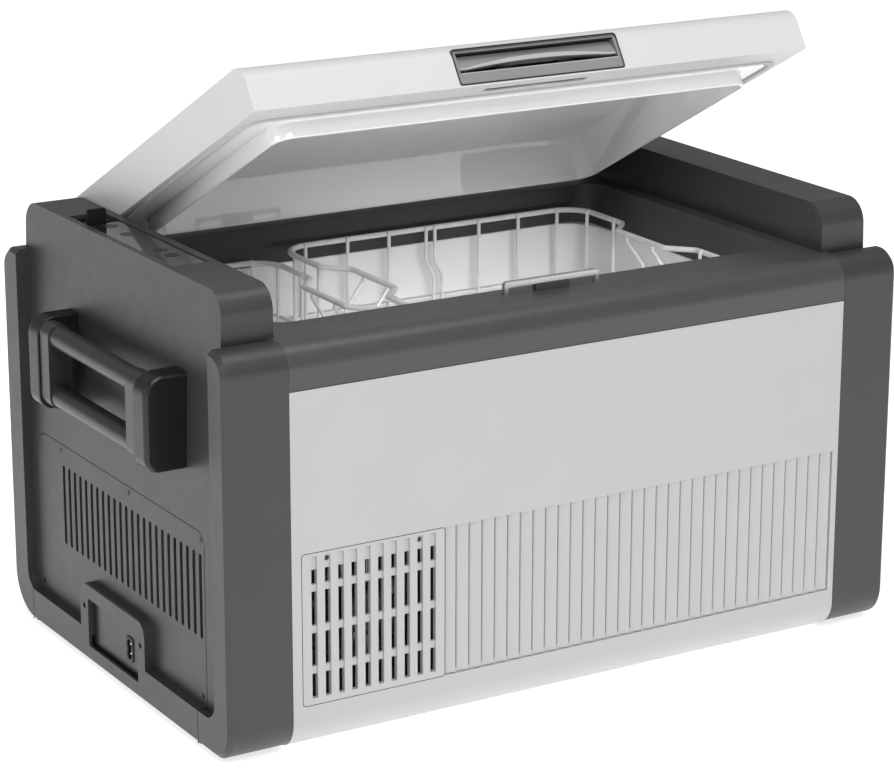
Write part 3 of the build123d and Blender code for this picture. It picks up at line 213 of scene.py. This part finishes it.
def circuit_board(name):
    """Green lacquer over raised tracks."""
    look = Finish(name, Coat_Weight=0.4)
    tracks = look.node("ShaderNodeTexBrick", {"Vector": look.place, "Scale": 160.0}).outputs["Fac"]
    colour = look.mixed(tracks, (0.015, 0.09, 0.04, 1), (0.03, 0.16, 0.07, 1))
    return look.finish(colour, look.ranged(look.noise(0.002), 0.3, 0.45), look.bumped(tracks, 0.00005))


CHARCOAL = moulded_plastic("charcoal_plastic", 0.037, 0.4, mottle=0.015, edge_wear_and_highlight=0.1)
# painted light: the rim is the frames' charcoal made paler, for the light its front and top catch
RIM_LIT_CHARCOAL = moulded_plastic("rim_charcoal_painted_lighter", 0.056, 0.36, mottle=0.015, edge_wear_and_highlight=0.1)
BRACKET = moulded_plastic("bracket_black", 0.006, 0.36, mottle=0.03, edge_wear_and_highlight=0.12)
HANDLE = moulded_plastic("handle_charcoal", 0.028, 0.34, mottle=0.03, edge_wear_and_highlight=0.1)
SOCKET = moulded_plastic("socket_black", 0.014, 0.3, mottle=0.03, edge_wear_and_highlight=0.1)
# dark for the seams' joints, and painted shade inside the latch recess
SEAM = moulded_plastic("seam_shadow", 0.006, 0.7, mottle=0.0, edge_wear_and_highlight=0.0)
# painted shade for the dips between the front panel's ribs
RIB_SHADE = moulded_plastic("rib_painted_shade_grey", 0.29, 0.5, mottle=0.01, edge_wear_and_highlight=0.0)
PANEL = moulded_plastic("light_grey_panel", 0.46, 0.42, mottle=0.012, edge_wear_and_highlight=0.04, grain_depth=0.000012)
LID = moulded_plastic("pale_grey_lid", 0.63, 0.4, mottle=0.01, edge_wear_and_highlight=0.04, grain_depth=0.000012)
LATCH = moulded_plastic("latch_grey", 0.24, 0.4, mottle=0.02, edge_wear_and_highlight=0.06)
LIP = moulded_plastic("lever_lip_grey", 0.42, 0.35, mottle=0.02, edge_wear_and_highlight=0.05)
LINER = moulded_plastic("white_liner", 0.86, 0.18, mottle=0.008, edge_wear_and_highlight=0.02, grain_depth=0.000004, Coat_Weight=0.2)
LID_LINER = polished_liner("polished_lid_liner")
BLACK = moulded_plastic("black_plastic", 0.018, 0.5, mottle=0.1, edge_wear_and_highlight=0.2)
BUTTON = moulded_plastic("button_plastic", 0.014, 0.36, mottle=0.04, edge_wear_and_highlight=0.15)
BUSH = moulded_plastic("bush_plastic", 0.7, 0.35, mottle=0.02, edge_wear_and_highlight=0.04)
ENAMEL = moulded_plastic("black_enamel", 0.02, 0.25, mottle=0.1, edge_wear_and_highlight=0.3, Coat_Weight=0.4)
WIRE = painted_wire("coated_wire")
STEEL = bare_metal("bright_steel", (0.72, 0.73, 0.74))
PLATED = bare_metal("plated_steel", (0.55, 0.56, 0.55), 0.35)
ALUMINIUM = bare_metal("bare_aluminium", (0.8, 0.81, 0.82), 0.32)
COPPER = bare_metal("copper_pipe", (0.76, 0.4, 0.25), 0.25)
LENS = smoked_lens("smoked_lens")
RUBBER = soft_rubber("black_rubber", 0.005)
SEAL = soft_rubber("grey_seal", 0.56, 1.04)
SCREW = bare_metal("blackened_screw", (0.07, 0.07, 0.072), 0.4)
FOAM = insulating_foam("insulating_foam")
BOARD = circuit_board("circuit_board")

SLOT_FINISH = {
    "frame_plastic": CHARCOAL,
    "panel_plastic": PANEL,
    "lid_plastic": LID,
    "latch_plastic": LATCH,
    "liner_plastic": LINER,
    "bush_plastic": BUSH,
    "foam": FOAM,
    "rubber": RUBBER,
    "base_plastic": BLACK,
    "steel": STEEL,
    "coated_wire": WIRE,
    "lens": LENS,
    "button_plastic": BUTTON,
    "black_plastic": BLACK,
    "circuit": BOARD,
    "black_enamel": ENAMEL,
    "plated_steel": PLATED,
    "bare_aluminium": ALUMINIUM,
    "copper": COPPER,
}
SLOT_OF = {s["node"]: s["material_slot"] for s in frame["record"]["subparts"]}
BODY_OF = {node: body for body, nodes in frame["record"]["behaviour"]["bodies"].items() for node in nodes}

HANDLE_BRACKETS = [f"handle_bracket_{side}_{end}" for side in ("left", "right") for end in ("front", "rear")]

# nodes whose finish differs from their slot's
OWN_FINISH = {
    "top_rim": RIM_LIT_CHARCOAL,
    "foam_insulation": BLACK,  # painted shade: black, seen through a slit behind each front bar's top, which then reads as a joint
    "lid_gasket": SEAL,
    "lid_liner": LID_LINER,
    "cover_screws": SCREW,
    "grille_screws": SCREW,
    # painted shade: the latch's hook and pin take the near-black bracket finish, darkening them in the gap under
    # the lever
    "latch_hook": BRACKET,
    "latch_pin": BRACKET,
    "socket_plate": SOCKET,
    "ac_inlet": BLACK,
    "control_tray": SOCKET,
    "handle_loop_left": HANDLE,
    "handle_loop_right": HANDLE,
    **dict.fromkeys(HANDLE_BRACKETS, BRACKET),
}
FINISH_OF = {node: OWN_FINISH.get(node, SLOT_FINISH[slot]) for node, slot in SLOT_OF.items()}

for node, thing in frame["nodes"].items():
    thing.data.materials.clear()
    thing.data.materials.append(FINISH_OF[node])


# ---------------------------------------------------------------- making pieces
def settle(piece, node, replaced=True):
    """Gives a piece the body of a CAD node, and hides the node if the piece replaces it."""
    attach(piece, BODY_OF[node])
    if replaced:
        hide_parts(node)
    return piece


def placed(name, mesh, angle=30):
    """A new object with this mesh, shaded smooth up to an edge angle in degrees."""
    mesh.name = name
    mesh.shade_smooth()
    mesh.set_sharp_from_angle(angle=radians(angle))
    piece = bpy.data.objects.new(name, mesh)
    scene.collection.objects.link(piece)
    return piece


def mesh_of(work, name):
    """Turns a bmesh into a mesh and frees it."""
    mesh = bpy.data.meshes.new(name)
    work.to_mesh(mesh)
    work.free()
    return mesh


WELD, ROUND_OVER = 3e-6, 30  # vertices this close are one, edges sharper than this many degrees are rounded


def softened(node, edge):
    """A copy of a CAD node with its sharp edges rounded by this much."""
    mesh = frame["nodes"][node].data.copy()
    if "custom_normal" in mesh.attributes:
        mesh.attributes.remove(mesh.attributes["custom_normal"])
    work = bmesh.new()
    work.from_mesh(mesh)
    bmesh.ops.remove_doubles(work, verts=work.verts, dist=WELD)
    # a face round an opening has to stay cut in quarters, or the bevel folds it over the opening
    for normal in ((1, 0, 0), (0, 1, 0)):
        everything = work.verts[:] + work.edges[:] + work.faces[:]
        cut = bmesh.ops.bisect_plane(work, geom=everything, dist=1e-7, plane_co=(0, 0, 0), plane_no=normal)
        for part in cut["geom_cut"]:
            if isinstance(part, bmesh.types.BMEdge):
                part.seam = True
    flat = radians(0.8)
    bmesh.ops.dissolve_limit(work, angle_limit=flat, verts=work.verts, edges=work.edges, delimit={"SEAM"})
    work.to_mesh(mesh)
    work.free()
    mesh.materials.clear()
    mesh.materials.append(FINISH_OF[node])
    piece = placed(node + "_moulding", mesh, ROUND_OVER)
    if edge:
        bevel = piece.modifiers.new("soft edges", "BEVEL")
        bevel.width = edge
        bevel.segments = 3
        bevel.limit_method = "ANGLE"
        bevel.angle_limit = radians(ROUND_OVER)
        bevel.use_clamp_overlap = True
        bevel.miter_outer = "MITER_ARC"
        weighted = piece.modifiers.new("even shading", "WEIGHTED_NORMAL")
        weighted.keep_sharp = True
        weighted.weight = 80
    return settle(piece, node)


# how far each node's edges are rounded, in metres; 0 only evens the shading
SOFTENED = {
    "end_frame_left": 0.0009,
    "end_frame_right": 0.0009,
    "service_cover": 0.0005,
    "socket_plate": 0.0003,
    "ac_inlet": 0.0004,
    "front_panel": 0.0006,
    "front_grille": 0.0,
    "rear_panel": 0.0005,
    "base_pan": 0.0004,
    "top_rim": 0.0008,
    "striker": 0.0005,
    **dict.fromkeys(HANDLE_BRACKETS, 0.0008),
    "handle_loop_left": 0.0012,
    "handle_loop_right": 0.0012,
    "lid_shell": 0.0008,
    "lid_liner": 0.0016,
    "latch_housing": 0.0005,
    "latch_lever": 0.0005,
    "control_lens": 0.0003,
    "inner_tub": 0.0008,
}
for node, edge in SOFTENED.items():
    softened(node, edge)


# ---------------------------------------------------------------- rods, by geometry nodes
def tree_socket(tree, name, kind, value=None, out=False):
    """Adds an input or output to a tree and gives back its identifier."""
    socket = tree.interface.new_socket(name, in_out="OUTPUT" if out else "INPUT", socket_type=kind)
    if value is not None:
        socket.default_value = value
    return socket.identifier


class Tree:
    """A geometry node tree with short calls, ending in realised and finished geometry."""

    def __init__(self, name, **inputs):
        self.tree = bpy.data.node_groups.new(name, "GeometryNodeTree")
        tree_socket(self.tree, "Geometry", "NodeSocketGeometry", out=True)
        tree_socket(self.tree, "Geometry", "NodeSocketGeometry")
        self.ids = {}
        for label, (kind, value) in inputs.items():
            self.ids[label] = tree_socket(self.tree, label, "NodeSocket" + kind, value)
        self.given = self.tree.nodes.new("NodeGroupInput").outputs

    def node(self, kind, inputs=None, **settings):
        """Adds a geometry node. An input is a socket to link or a value to set."""
        node = self.tree.nodes.new("GeometryNode" + kind)
        for key, value in settings.items():
            setattr(node, key, value)
        for key, value in (inputs or {}).items():
            if isinstance(value, bpy.types.NodeSocket):
                self.tree.links.new(value, node.inputs[key])
            else:
                node.inputs[key].default_value = value
        return node

    def end(self, geometry):
        """Closes the tree with Realize Instances and Set Material."""
        real = self.node("RealizeInstances", {0: geometry}).outputs[0]
        done = self.node("SetMaterial", {0: real, "Material": self.given["Material"]}).outputs[0]
        self.tree.links.new(done, self.tree.nodes.new("NodeGroupOutput").inputs[0])

    def grow(self, seed, **values):
        """Runs the tree on a seed mesh and gives back the plain mesh that it makes."""
        holder = bpy.data.objects.new("seed", seed)
        scene.collection.objects.link(holder)
        modifier = holder.modifiers.new("grow", "NODES")
        modifier.node_group = self.tree
        for label, value in values.items():
            modifier[self.ids[label]] = value
        bpy.context.view_layer.update()
        graph = bpy.context.evaluated_depsgraph_get()
        mesh = bpy.data.meshes.new_from_object(holder.evaluated_get(graph), depsgraph=graph)
        holder.modifiers.remove(modifier)
        bpy.data.objects.remove(holder)
        return mesh


def rod_tree():
    """Bent round rods along the seed's edges, repeated along a step."""
    tree = Tree(
        "bent_rods",
        Count=("Int", 1),
        Step=("Vector", (0, 0, 0)),
        Radius=("Float", 0.0016),
        Bend=("Float", 0.004),
        Material=("Material", None),
    )
    given = tree.given
    path = tree.node("MeshToCurve", {0: given["Geometry"]}).outputs[0]
    corners = {0: path, "Radius": given["Bend"], "Limit Radius": True, "Count": 6}
    bent = tree.node("FilletCurve", corners, mode="POLY")
    ring = tree.node("CurvePrimitiveCircle", {"Resolution": 12, "Radius": given["Radius"]}).outputs[0]
    inputs = {"Curve": bent.outputs[0], "Profile Curve": ring, "Fill Caps": True}
    rod = tree.node("CurveToMesh", inputs).outputs[0]
    row = tree.node("MeshLine", {"Count": given["Count"], "Offset": given["Step"]}).outputs[0]
    tree.end(tree.node("InstanceOnPoints", {"Points": row, "Instance": rod}).outputs[0])
    return tree


RODS = rod_tree()


def path_mesh(points, closed):
    """A line of edges through points given in millimetres above the base."""
    mesh = bpy.data.meshes.new("path")
    spots = [(x * MM, y * MM, z * MM + FLOOR_LIFT) for x, y, z in points]
    edges = [(i, i + 1) for i in range(len(points) - 1)]
    if closed:
        edges.append((len(points) - 1, 0))
    mesh.from_pydata(spots, edges, [])
    return mesh


def rods(points, radius, bend, material, closed=False, count=1, step=(0, 0, 0)):
    """Rods of one path, as a mesh. Millimetres."""
    return RODS.grow(
        path_mesh(points, closed),
        Count=count,
        Step=[v * MM for v in step],
        Radius=radius * MM,
        Bend=bend * MM,
        Material=material,
    )


def piece_of(name, meshes, material):
    """One object from several meshes in part coordinates, with smooth shading and outward faces."""
    work = bmesh.new()
    for mesh in meshes:
        work.from_mesh(mesh)
        bpy.data.meshes.remove(mesh)
    bmesh.ops.remove_doubles(work, verts=work.verts, dist=1e-7)
    bmesh.ops.recalc_face_normals(work, faces=work.faces)
    mesh = mesh_of(work, name)
    mesh.materials.append(material)
    for face in mesh.polygons:
        face.material_index = 0
    return placed(name, mesh, 35)


# ---------------------------------------------------------------- wire baskets
RIM_RADIUS, WIRE_RADIUS = 2.5, 1.65
BASKET_Y = 134.5  # half the depth over the rim wire's middle
RIM_CORNER, FLOOR_CORNER, WIRE_BEND = 28, 17, 2.2
INSET = RIM_RADIUS + WIRE_RADIUS - 0.6  # the wires are welded a little into the rim
TAIL = 2.6  # how far a wire's end reaches out over the rim
PAIR_HALF_GAP, JOG = 4.6, 8


def basket_rim(left, right, z, grip):
    """The rim's path: straight sides, round corners and a grip set inwards at each short end."""
    turns = [radians(90 * k / 8) for k in range(9)]
    path = []
    for end, side in ((right, 1), (left, -1)):
        middle = end - side * RIM_CORNER
        corner = [(middle + side * RIM_CORNER * sin(t), BASKET_Y - RIM_CORNER * (1 - cos(t))) for t in turns]
        path += [(x, -side * y, z) for x, y in corner]
        path += [(end - side * back, side * y, z) for back, y in ((0, -59), (grip, -37), (grip, 37), (0, 59))]
        path += [(x, side * y, z) for x, y in corner[::-1]]
    return path


def bent_floor(points):
    """Turns a hoop's two floor corners, which are wider than its other bends, into short chords."""
    low = min(p[2] for p in points)
    out = []
    for i, p in enumerate(points):
        if p[2] > low + 0.01:
            out.append(p)
            continue
        before, after = Vector(points[i - 1]), Vector(points[(i + 1) % len(points)])
        corner = Vector(p)
        a, b = (before - corner).normalized(), (after - corner).normalized()
        centre = corner + (a + b) * FLOOR_CORNER
        for k in range(7):
            t = radians(90 * k / 6)
            out.append(tuple(centre - b * FLOOR_CORNER * cos(t) - a * FLOOR_CORNER * sin(t)))
    return out


def wire_basket(name, node, ends, low, rim, grip, cross_x, pair_x, rings):
    """A basket between the rim's two ends. Low and rim are the heights of the lowest wires and of the rim wire.

    cross_x lists rows of cross hoops, each with its first x, its count and its step. pair_x lists the paired
    hoops with a jog in them, and rings the heights of the wires that run round.
    """
    left, right = ends
    wall, top, floor = BASKET_Y - INSET, rim + RIM_RADIUS - 1.2, low + 3.2
    meshes = [rods(basket_rim(left, right, rim, grip), RIM_RADIUS, 5, WIRE, closed=True)]

    def hoop(points, **more):
        meshes.append(rods(bent_floor(points), WIRE_RADIUS, WIRE_BEND, WIRE, **more))

    for first, count, step in cross_x:
        down = [(first, wall + TAIL, top), (first, wall, top), (first, wall, low)]
        hoop(down + [(x, -y, z) for x, y, z in down[::-1]], count=count, step=(step, 0, 0))
    for middle in pair_x:
        for x in (middle - PAIR_HALF_GAP, middle + PAIR_HALF_GAP):
            down = [(x, wall + TAIL, top), (x, wall, top), (x, wall, rim - 30)]
            down += [(x + JOG, wall, rim - 44), (x + JOG, wall, low)]
            hoop(down + [(x, -y, z) for x, y, z in down[::-1]])
    for y in (-112, -68, 68, 112):
        down = [(INSET - TAIL, top), (INSET, top), (INSET, floor)]
        hoop([(left + x, y, z) for x, z in down] + [(right - x, y, z) for x, z in down[::-1]])
    for y in (-20, 20):
        down = [(grip, top), (grip + 1.5, rim - 5), (INSET, rim - 30), (INSET, floor)]
        hoop([(left + x, y, z) for x, z in down] + [(right - x, y, z) for x, z in down[::-1]])
    for z in rings:
        x0, x1, y = left + 1.6, right - 1.6, BASKET_Y - 0.9
        meshes.append(rods([(x0, -y, z), (x1, -y, z), (x1, y, z), (x0, y, z)], WIRE_RADIUS, 27, WIRE, closed=True))
    return settle(piece_of(name, meshes, WIRE), node)


wire_basket(
    "deep_wire_basket", "basket_large", (-93.5, 222.0), 64.2, 317.3, 20,
    cross_x=[(-68.75, 3, 42.7), (111.85, 3, 42.7)], pair_x=[60.25], rings=(74, 190, 252),
)
wire_basket(
    "shallow_wire_basket", "basket_small", (-222.0, -103.4), 188.2, 308.0, 18,
    cross_x=[(-203.7, 3, 41)], pair_x=[], rings=(198, 262),
)


# ---------------------------------------------------------------- seams, drawn as thin rods let into them
def seam_line(name, node, path, radius, material, bend=0.5, closed=False, move=None):
    """A thin rod along a path in millimetres, riding with a CAD node."""
    piece = piece_of(name, [rods(path, radius, bend, material, closed=closed)], material)
    if move:
        piece.data.transform(move)
    return settle(piece, node, replaced=False)


END_FACE, END_DRAFT, DRAFT_HEIGHT, EAR_HEIGHT = 309.5, 6.5, 150.0, 377.0  # the left end panel's outer face
FOOT_FACE, FOOT_LOW, FOOT_TOP = -324.7, 2, 30.25  # the bar along the end frame's foot
PANEL_FRONT, SEAM_DEPTH = -209.75, 0.25  # where a seam's middle lies in the front panel, and behind a face


def end_face_x(z):
    """The left end panel's outer face, which leans in above the draft's foot."""
    up = max(0.0, z - DRAFT_HEIGHT) / (EAR_HEIGHT - DRAFT_HEIGHT)
    return -(END_FACE + END_DRAFT * (1 - up))


def cover_seam():
    """The line round the service cover, up over the foot bar and back down."""
    front, rear, top = -154.3, 170.3, 176.3
    front_corner, rear_corner = 12, 18
    panel = end_face_x(100) + SEAM_DEPTH
    high = end_face_x(top) + SEAM_DEPTH
    turns = [radians(t) for t in (0, 30, 60, 90)]
    path = [(FOOT_FACE, front, FOOT_LOW), (FOOT_FACE, front, FOOT_TOP - 0.75), (panel, front, FOOT_TOP + 0.75)]
    path += [(panel, front, DRAFT_HEIGHT)]
    path += [(end_face_x(top - front_corner - 0.3) + SEAM_DEPTH, front, top - front_corner - 0.3)]
    path += [(high, front + front_corner * (1 - cos(t)), top - front_corner * (1 - sin(t))) for t in turns]
    path += [(high, rear - rear_corner * (1 - sin(t)), top - rear_corner * (1 - cos(t))) for t in turns]
    path += [(panel, rear, DRAFT_HEIGHT), (panel, rear, FOOT_TOP + 0.75)]
    path += [(FOOT_FACE, rear, FOOT_TOP - 0.75), (FOOT_FACE, rear, FOOT_LOW)]
    return path


seam_line("service_cover_seam", "end_frame_left", cover_seam(), 0.5, SEAM)

GRILLE_LEFT, GRILLE_RIGHT, GRILLE_LOW, GRILLE_HIGH = -259.1, -128.4, 38.4, 166.1
grille_edge = [(x, PANEL_FRONT, GRILLE_LOW) for x in (GRILLE_LEFT, GRILLE_RIGHT)]
grille_edge += [(x, PANEL_FRONT, GRILLE_HIGH) for x in (GRILLE_RIGHT, GRILLE_LEFT)]
seam_line("grille_seam", "front_panel", grille_edge, 0.4, SEAM, bend=3, closed=True)

# painted shade: a grey rod in each dip between the front panel's ribs
RIB_PITCH, RIB_COUNT, FIELD_LEFT = 390.5 / 32, 32, -128.5
valley_x, foot_x = FIELD_LEFT + 0.95 * RIB_PITCH, FIELD_LEFT + 0.62 * RIB_PITCH
valley = [(valley_x, -208.5, 165.6), (valley_x, -208.5, 43.5), (foot_x, -208.9, 40.4)]
rib_shade_rods = rods(valley, 0.6, 3, RIB_SHADE, count=RIB_COUNT, step=(RIB_PITCH, 0, 0))
settle(piece_of("rib_painted_shade_lines", [rib_shade_rods], RIB_SHADE), "front_panel", replaced=False)

# the joints between the end frames, the front panel and the rim
FRAME_JOINT = 267.9
for side, end in ((-1, "left"), (1, "right")):
    line = [(side * FRAME_JOINT, -209.6, z) for z in (27, 299)]
    seam_line(f"front_seam_{end}", f"end_frame_{end}", line, 0.35, SEAM)
under_rim = [(side * (FRAME_JOINT - 0.3), -209.8, 299.9) for side in (-1, 1)]
seam_line("rim_seam", "top_rim", under_rim, 0.4, SEAM)


# ---------------------------------------------------------------- latch details
LID_LOW, LID_FRONT, LEAN = 337.5, -180.0, tan(radians(5))
LEVER_PIVOT = Vector((0, -0.169, (LID_LOW + 25.5) * MM + FLOOR_LIFT))
PULLED = turned_about(LEVER_PIVOT, radians(-7.5))  # the lever rests this far out


def lid_front_y(z):
    """The lid's leaning front face, as it lies when the lid is shut."""
    return LID_FRONT + (z - LID_LOW) * LEAN


def slab(name, sections, node, material, move):
    """A closed strip through rectangular sections, each four (x, y, z) corners in millimetres."""
    work = bmesh.new()
    loops = [
        [work.verts.new((x * MM, y * MM, z * MM + FLOOR_LIFT)) for x, y, z in corners] for corners in sections
    ]
    for first, second in zip(loops, loops[1:]):
        for i in range(4):
            work.faces.new((first[i], first[(i + 1) % 4], second[(i + 1) % 4], second[i]))
    work.faces.new(loops[0][::-1])
    work.faces.new(loops[-1])
    bmesh.ops.recalc_face_normals(work, faces=work.faces)
    mesh = mesh_of(work, name)
    mesh.transform(move)
    mesh.materials.append(material)
    return settle(placed(name, mesh, 40), node, replaced=False)


def block(half_x, y, z):
    """A slab's two end sections, for a plain block across the middle of the lid."""
    return [[(x, y[0], z[0]), (x, y[1], z[0]), (x, y[1], z[1]), (x, y[0], z[1])] for x in (-half_x, half_x)]


LEVER_HALF, ARCH_HALF, ARCH = 74.6, 67.4, 3.5
LIP_FRONT, LIP_BACK, LIP_Z = -176.24, -175.39, 351.35


def lip_sections():
    """The pale lip along the finger lever's arched lower edge, thickest in the middle."""
    out = []
    for i in range(-12, 13):
        x = LEVER_HALF * i / 12
        low = LIP_Z + ARCH * max(0.0, 1 - (x / ARCH_HALF) ** 2)
        high = low + 1.3 + 2.3 * (1 - (x / LEVER_HALF) ** 2)
        out.append([(x, LIP_FRONT, low), (x, LIP_BACK, low), (x, LIP_BACK, high), (x, LIP_FRONT, high)])
    return out


slab("lever_lip", lip_sections(), "latch_lever", LIP, CLOSED_TO_REST @ PULLED)

# painted shade: a dark back and roof inside the lever's recess; then the pale sill under it and the dark line
# round the housing
RECESS_HALF, RECESS_BACK, RECESS_SILL, RECESS_ROOF = 75.3, -160.6, 349.2, 366.4
slab(
    "latch_recess_shade_back",
    block(RECESS_HALF, (RECESS_BACK, RECESS_BACK + 0.5), (RECESS_SILL, RECESS_ROOF - 0.1)),
    "latch_housing", SEAM, CLOSED_TO_REST,
)
slab(
    "latch_recess_shade_roof",
    block(RECESS_HALF, (-177.5, RECESS_BACK), (RECESS_ROOF - 0.6, RECESS_ROOF)),
    "latch_housing", SEAM, CLOSED_TO_REST,
)
sill = [(x, lid_front_y(349) + 0.1, 348.9) for x in (-75.2, 75.2)]
seam_line("latch_sill", "latch_housing", sill, 0.45, LIP, move=CLOSED_TO_REST)
bezel = [(x, lid_front_y(z) + 0.15, z) for x, z in ((-78.4, 339.5), (78.4, 339.5), (78.4, 369.6), (-78.4, 369.6))]
seam_line("latch_bezel_line", "latch_housing", bezel, 0.75, BRACKET, bend=2.5, closed=True, move=CLOSED_TO_REST)
slab("latch_slot_lip", block(48.8, (-176.1, -168.2), (337.5, 338.1)), "lid_shell", LID, CLOSED_TO_REST)


# ---------------------------------------------------------------- fan label
def fan_label():
    """A plain paper disc on the fan's hub."""
    work = bmesh.new()
    bmesh.ops.create_cone(work, cap_ends=True, segments=40, radius1=0.0155, radius2=0.0155, depth=0.0003)
    mesh = mesh_of(work, "fan_label")
    hub = Vector((-0.19375, -0.1976, 0.10225 + FLOOR_LIFT))
    mesh.transform(Matrix.Translation(hub) @ Matrix.Rotation(radians(90), 4, "X"))
    look = Finish("fan_label_paper")
    blotches = look.ranged(look.noise(0.004, detail=4), 0, 1)
    colour = look.mixed(blotches, (0.1, 0.105, 0.08, 1), (0.2, 0.205, 0.16, 1))
    mesh.materials.append(look.finish(colour, 0.6))
    settle(placed("fan_label", mesh), "fan_rotor", replaced=False)


fan_label()


# ---------------------------------------------------------------- studio
CAMERA_PLACE = (-1.3190, -2.1933, 0.9732 + FLOOR_LIFT)
CAMERA_YAW, CAMERA_PITCH, CAMERA_ROLL = radians(31.01), radians(16.55), radians(0.09)
FOCAL_LENGTH = 123.03


def studio_camera():
    """A long lens, from the left, the front and a little above."""
    data = bpy.data.cameras.new("camera")
    data.lens = FOCAL_LENGTH
    data.sensor_width = 36
    data.clip_end = 100
    camera = bpy.data.objects.new("camera", data)
    scene.collection.objects.link(camera)
    level = cos(CAMERA_PITCH)
    ahead = Vector((sin(CAMERA_YAW) * level, cos(CAMERA_YAW) * level, -sin(CAMERA_PITCH)))
    turned = ahead.to_track_quat("-Z", "Y").to_matrix() @ Matrix.Rotation(CAMERA_ROLL, 3, "Z")
    camera.location = CAMERA_PLACE
    camera.rotation_euler = turned.to_euler()
    scene.camera = camera


def softbox(name, place, aim, size, power):
    """A rectangular area light in watts, aimed at a point."""
    data = bpy.data.lights.new(name, "AREA")
    data.shape = "RECTANGLE"
    data.size, data.size_y = size
    data.energy = power
    light = bpy.data.objects.new(name, data)
    light.location = place
    light.rotation_euler = (Vector(aim) - Vector(place)).to_track_quat("-Z", "Y").to_euler()
    scene.collection.objects.link(light)
    return light


def studio():
    """A pale floor that glows a little, three softboxes and a faint lamp that lifts the tub's far wall."""
    scene.view_settings.view_transform = "Standard"
    world = bpy.data.worlds.new("studio")
    world.use_nodes = True
    world.node_tree.nodes["Background"].inputs["Color"].default_value = (1, 1, 1, 1)
    world.node_tree.nodes["Background"].inputs["Strength"].default_value = 0.3
    scene.world = world
    bpy.ops.mesh.primitive_plane_add(size=60, location=(0, 0, 0))
    floor = bpy.context.object
    floor.name = "floor"
    paper = Finish("studio_floor", Emission_Color=(1, 1, 1, 1), Emission_Strength=0.7)
    tone = paper.mixed(paper.ranged(paper.noise(0.8), 0, 1), (0.9, 0.9, 0.9, 1), (0.93, 0.93, 0.93, 1))
    floor.data.materials.append(paper.finish(tone, 0.8))
    softbox("key softbox", (-0.6, -2.7, 2.7), (0, 0, 0.25), (2.0, 1.2), 48)
    softbox("left softbox", (-3.2, -0.3, 1.5), (0, 0, 0.2), (1.4, 1.2), 16)
    softbox("top softbox", (0.1, -0.7, 3.0), (0, 0, 0.3), (2.6, 1.2), 34)
    lamp = softbox("inside lamp", (0.05, -0.125, 0.3), (0.05, 0.14, 0.22), (0.34, 0.02), 0.14)
    lamp.data.spread = radians(85)
    lamp.visible_camera = lamp.visible_glossy = False
    studio_camera()


studio()
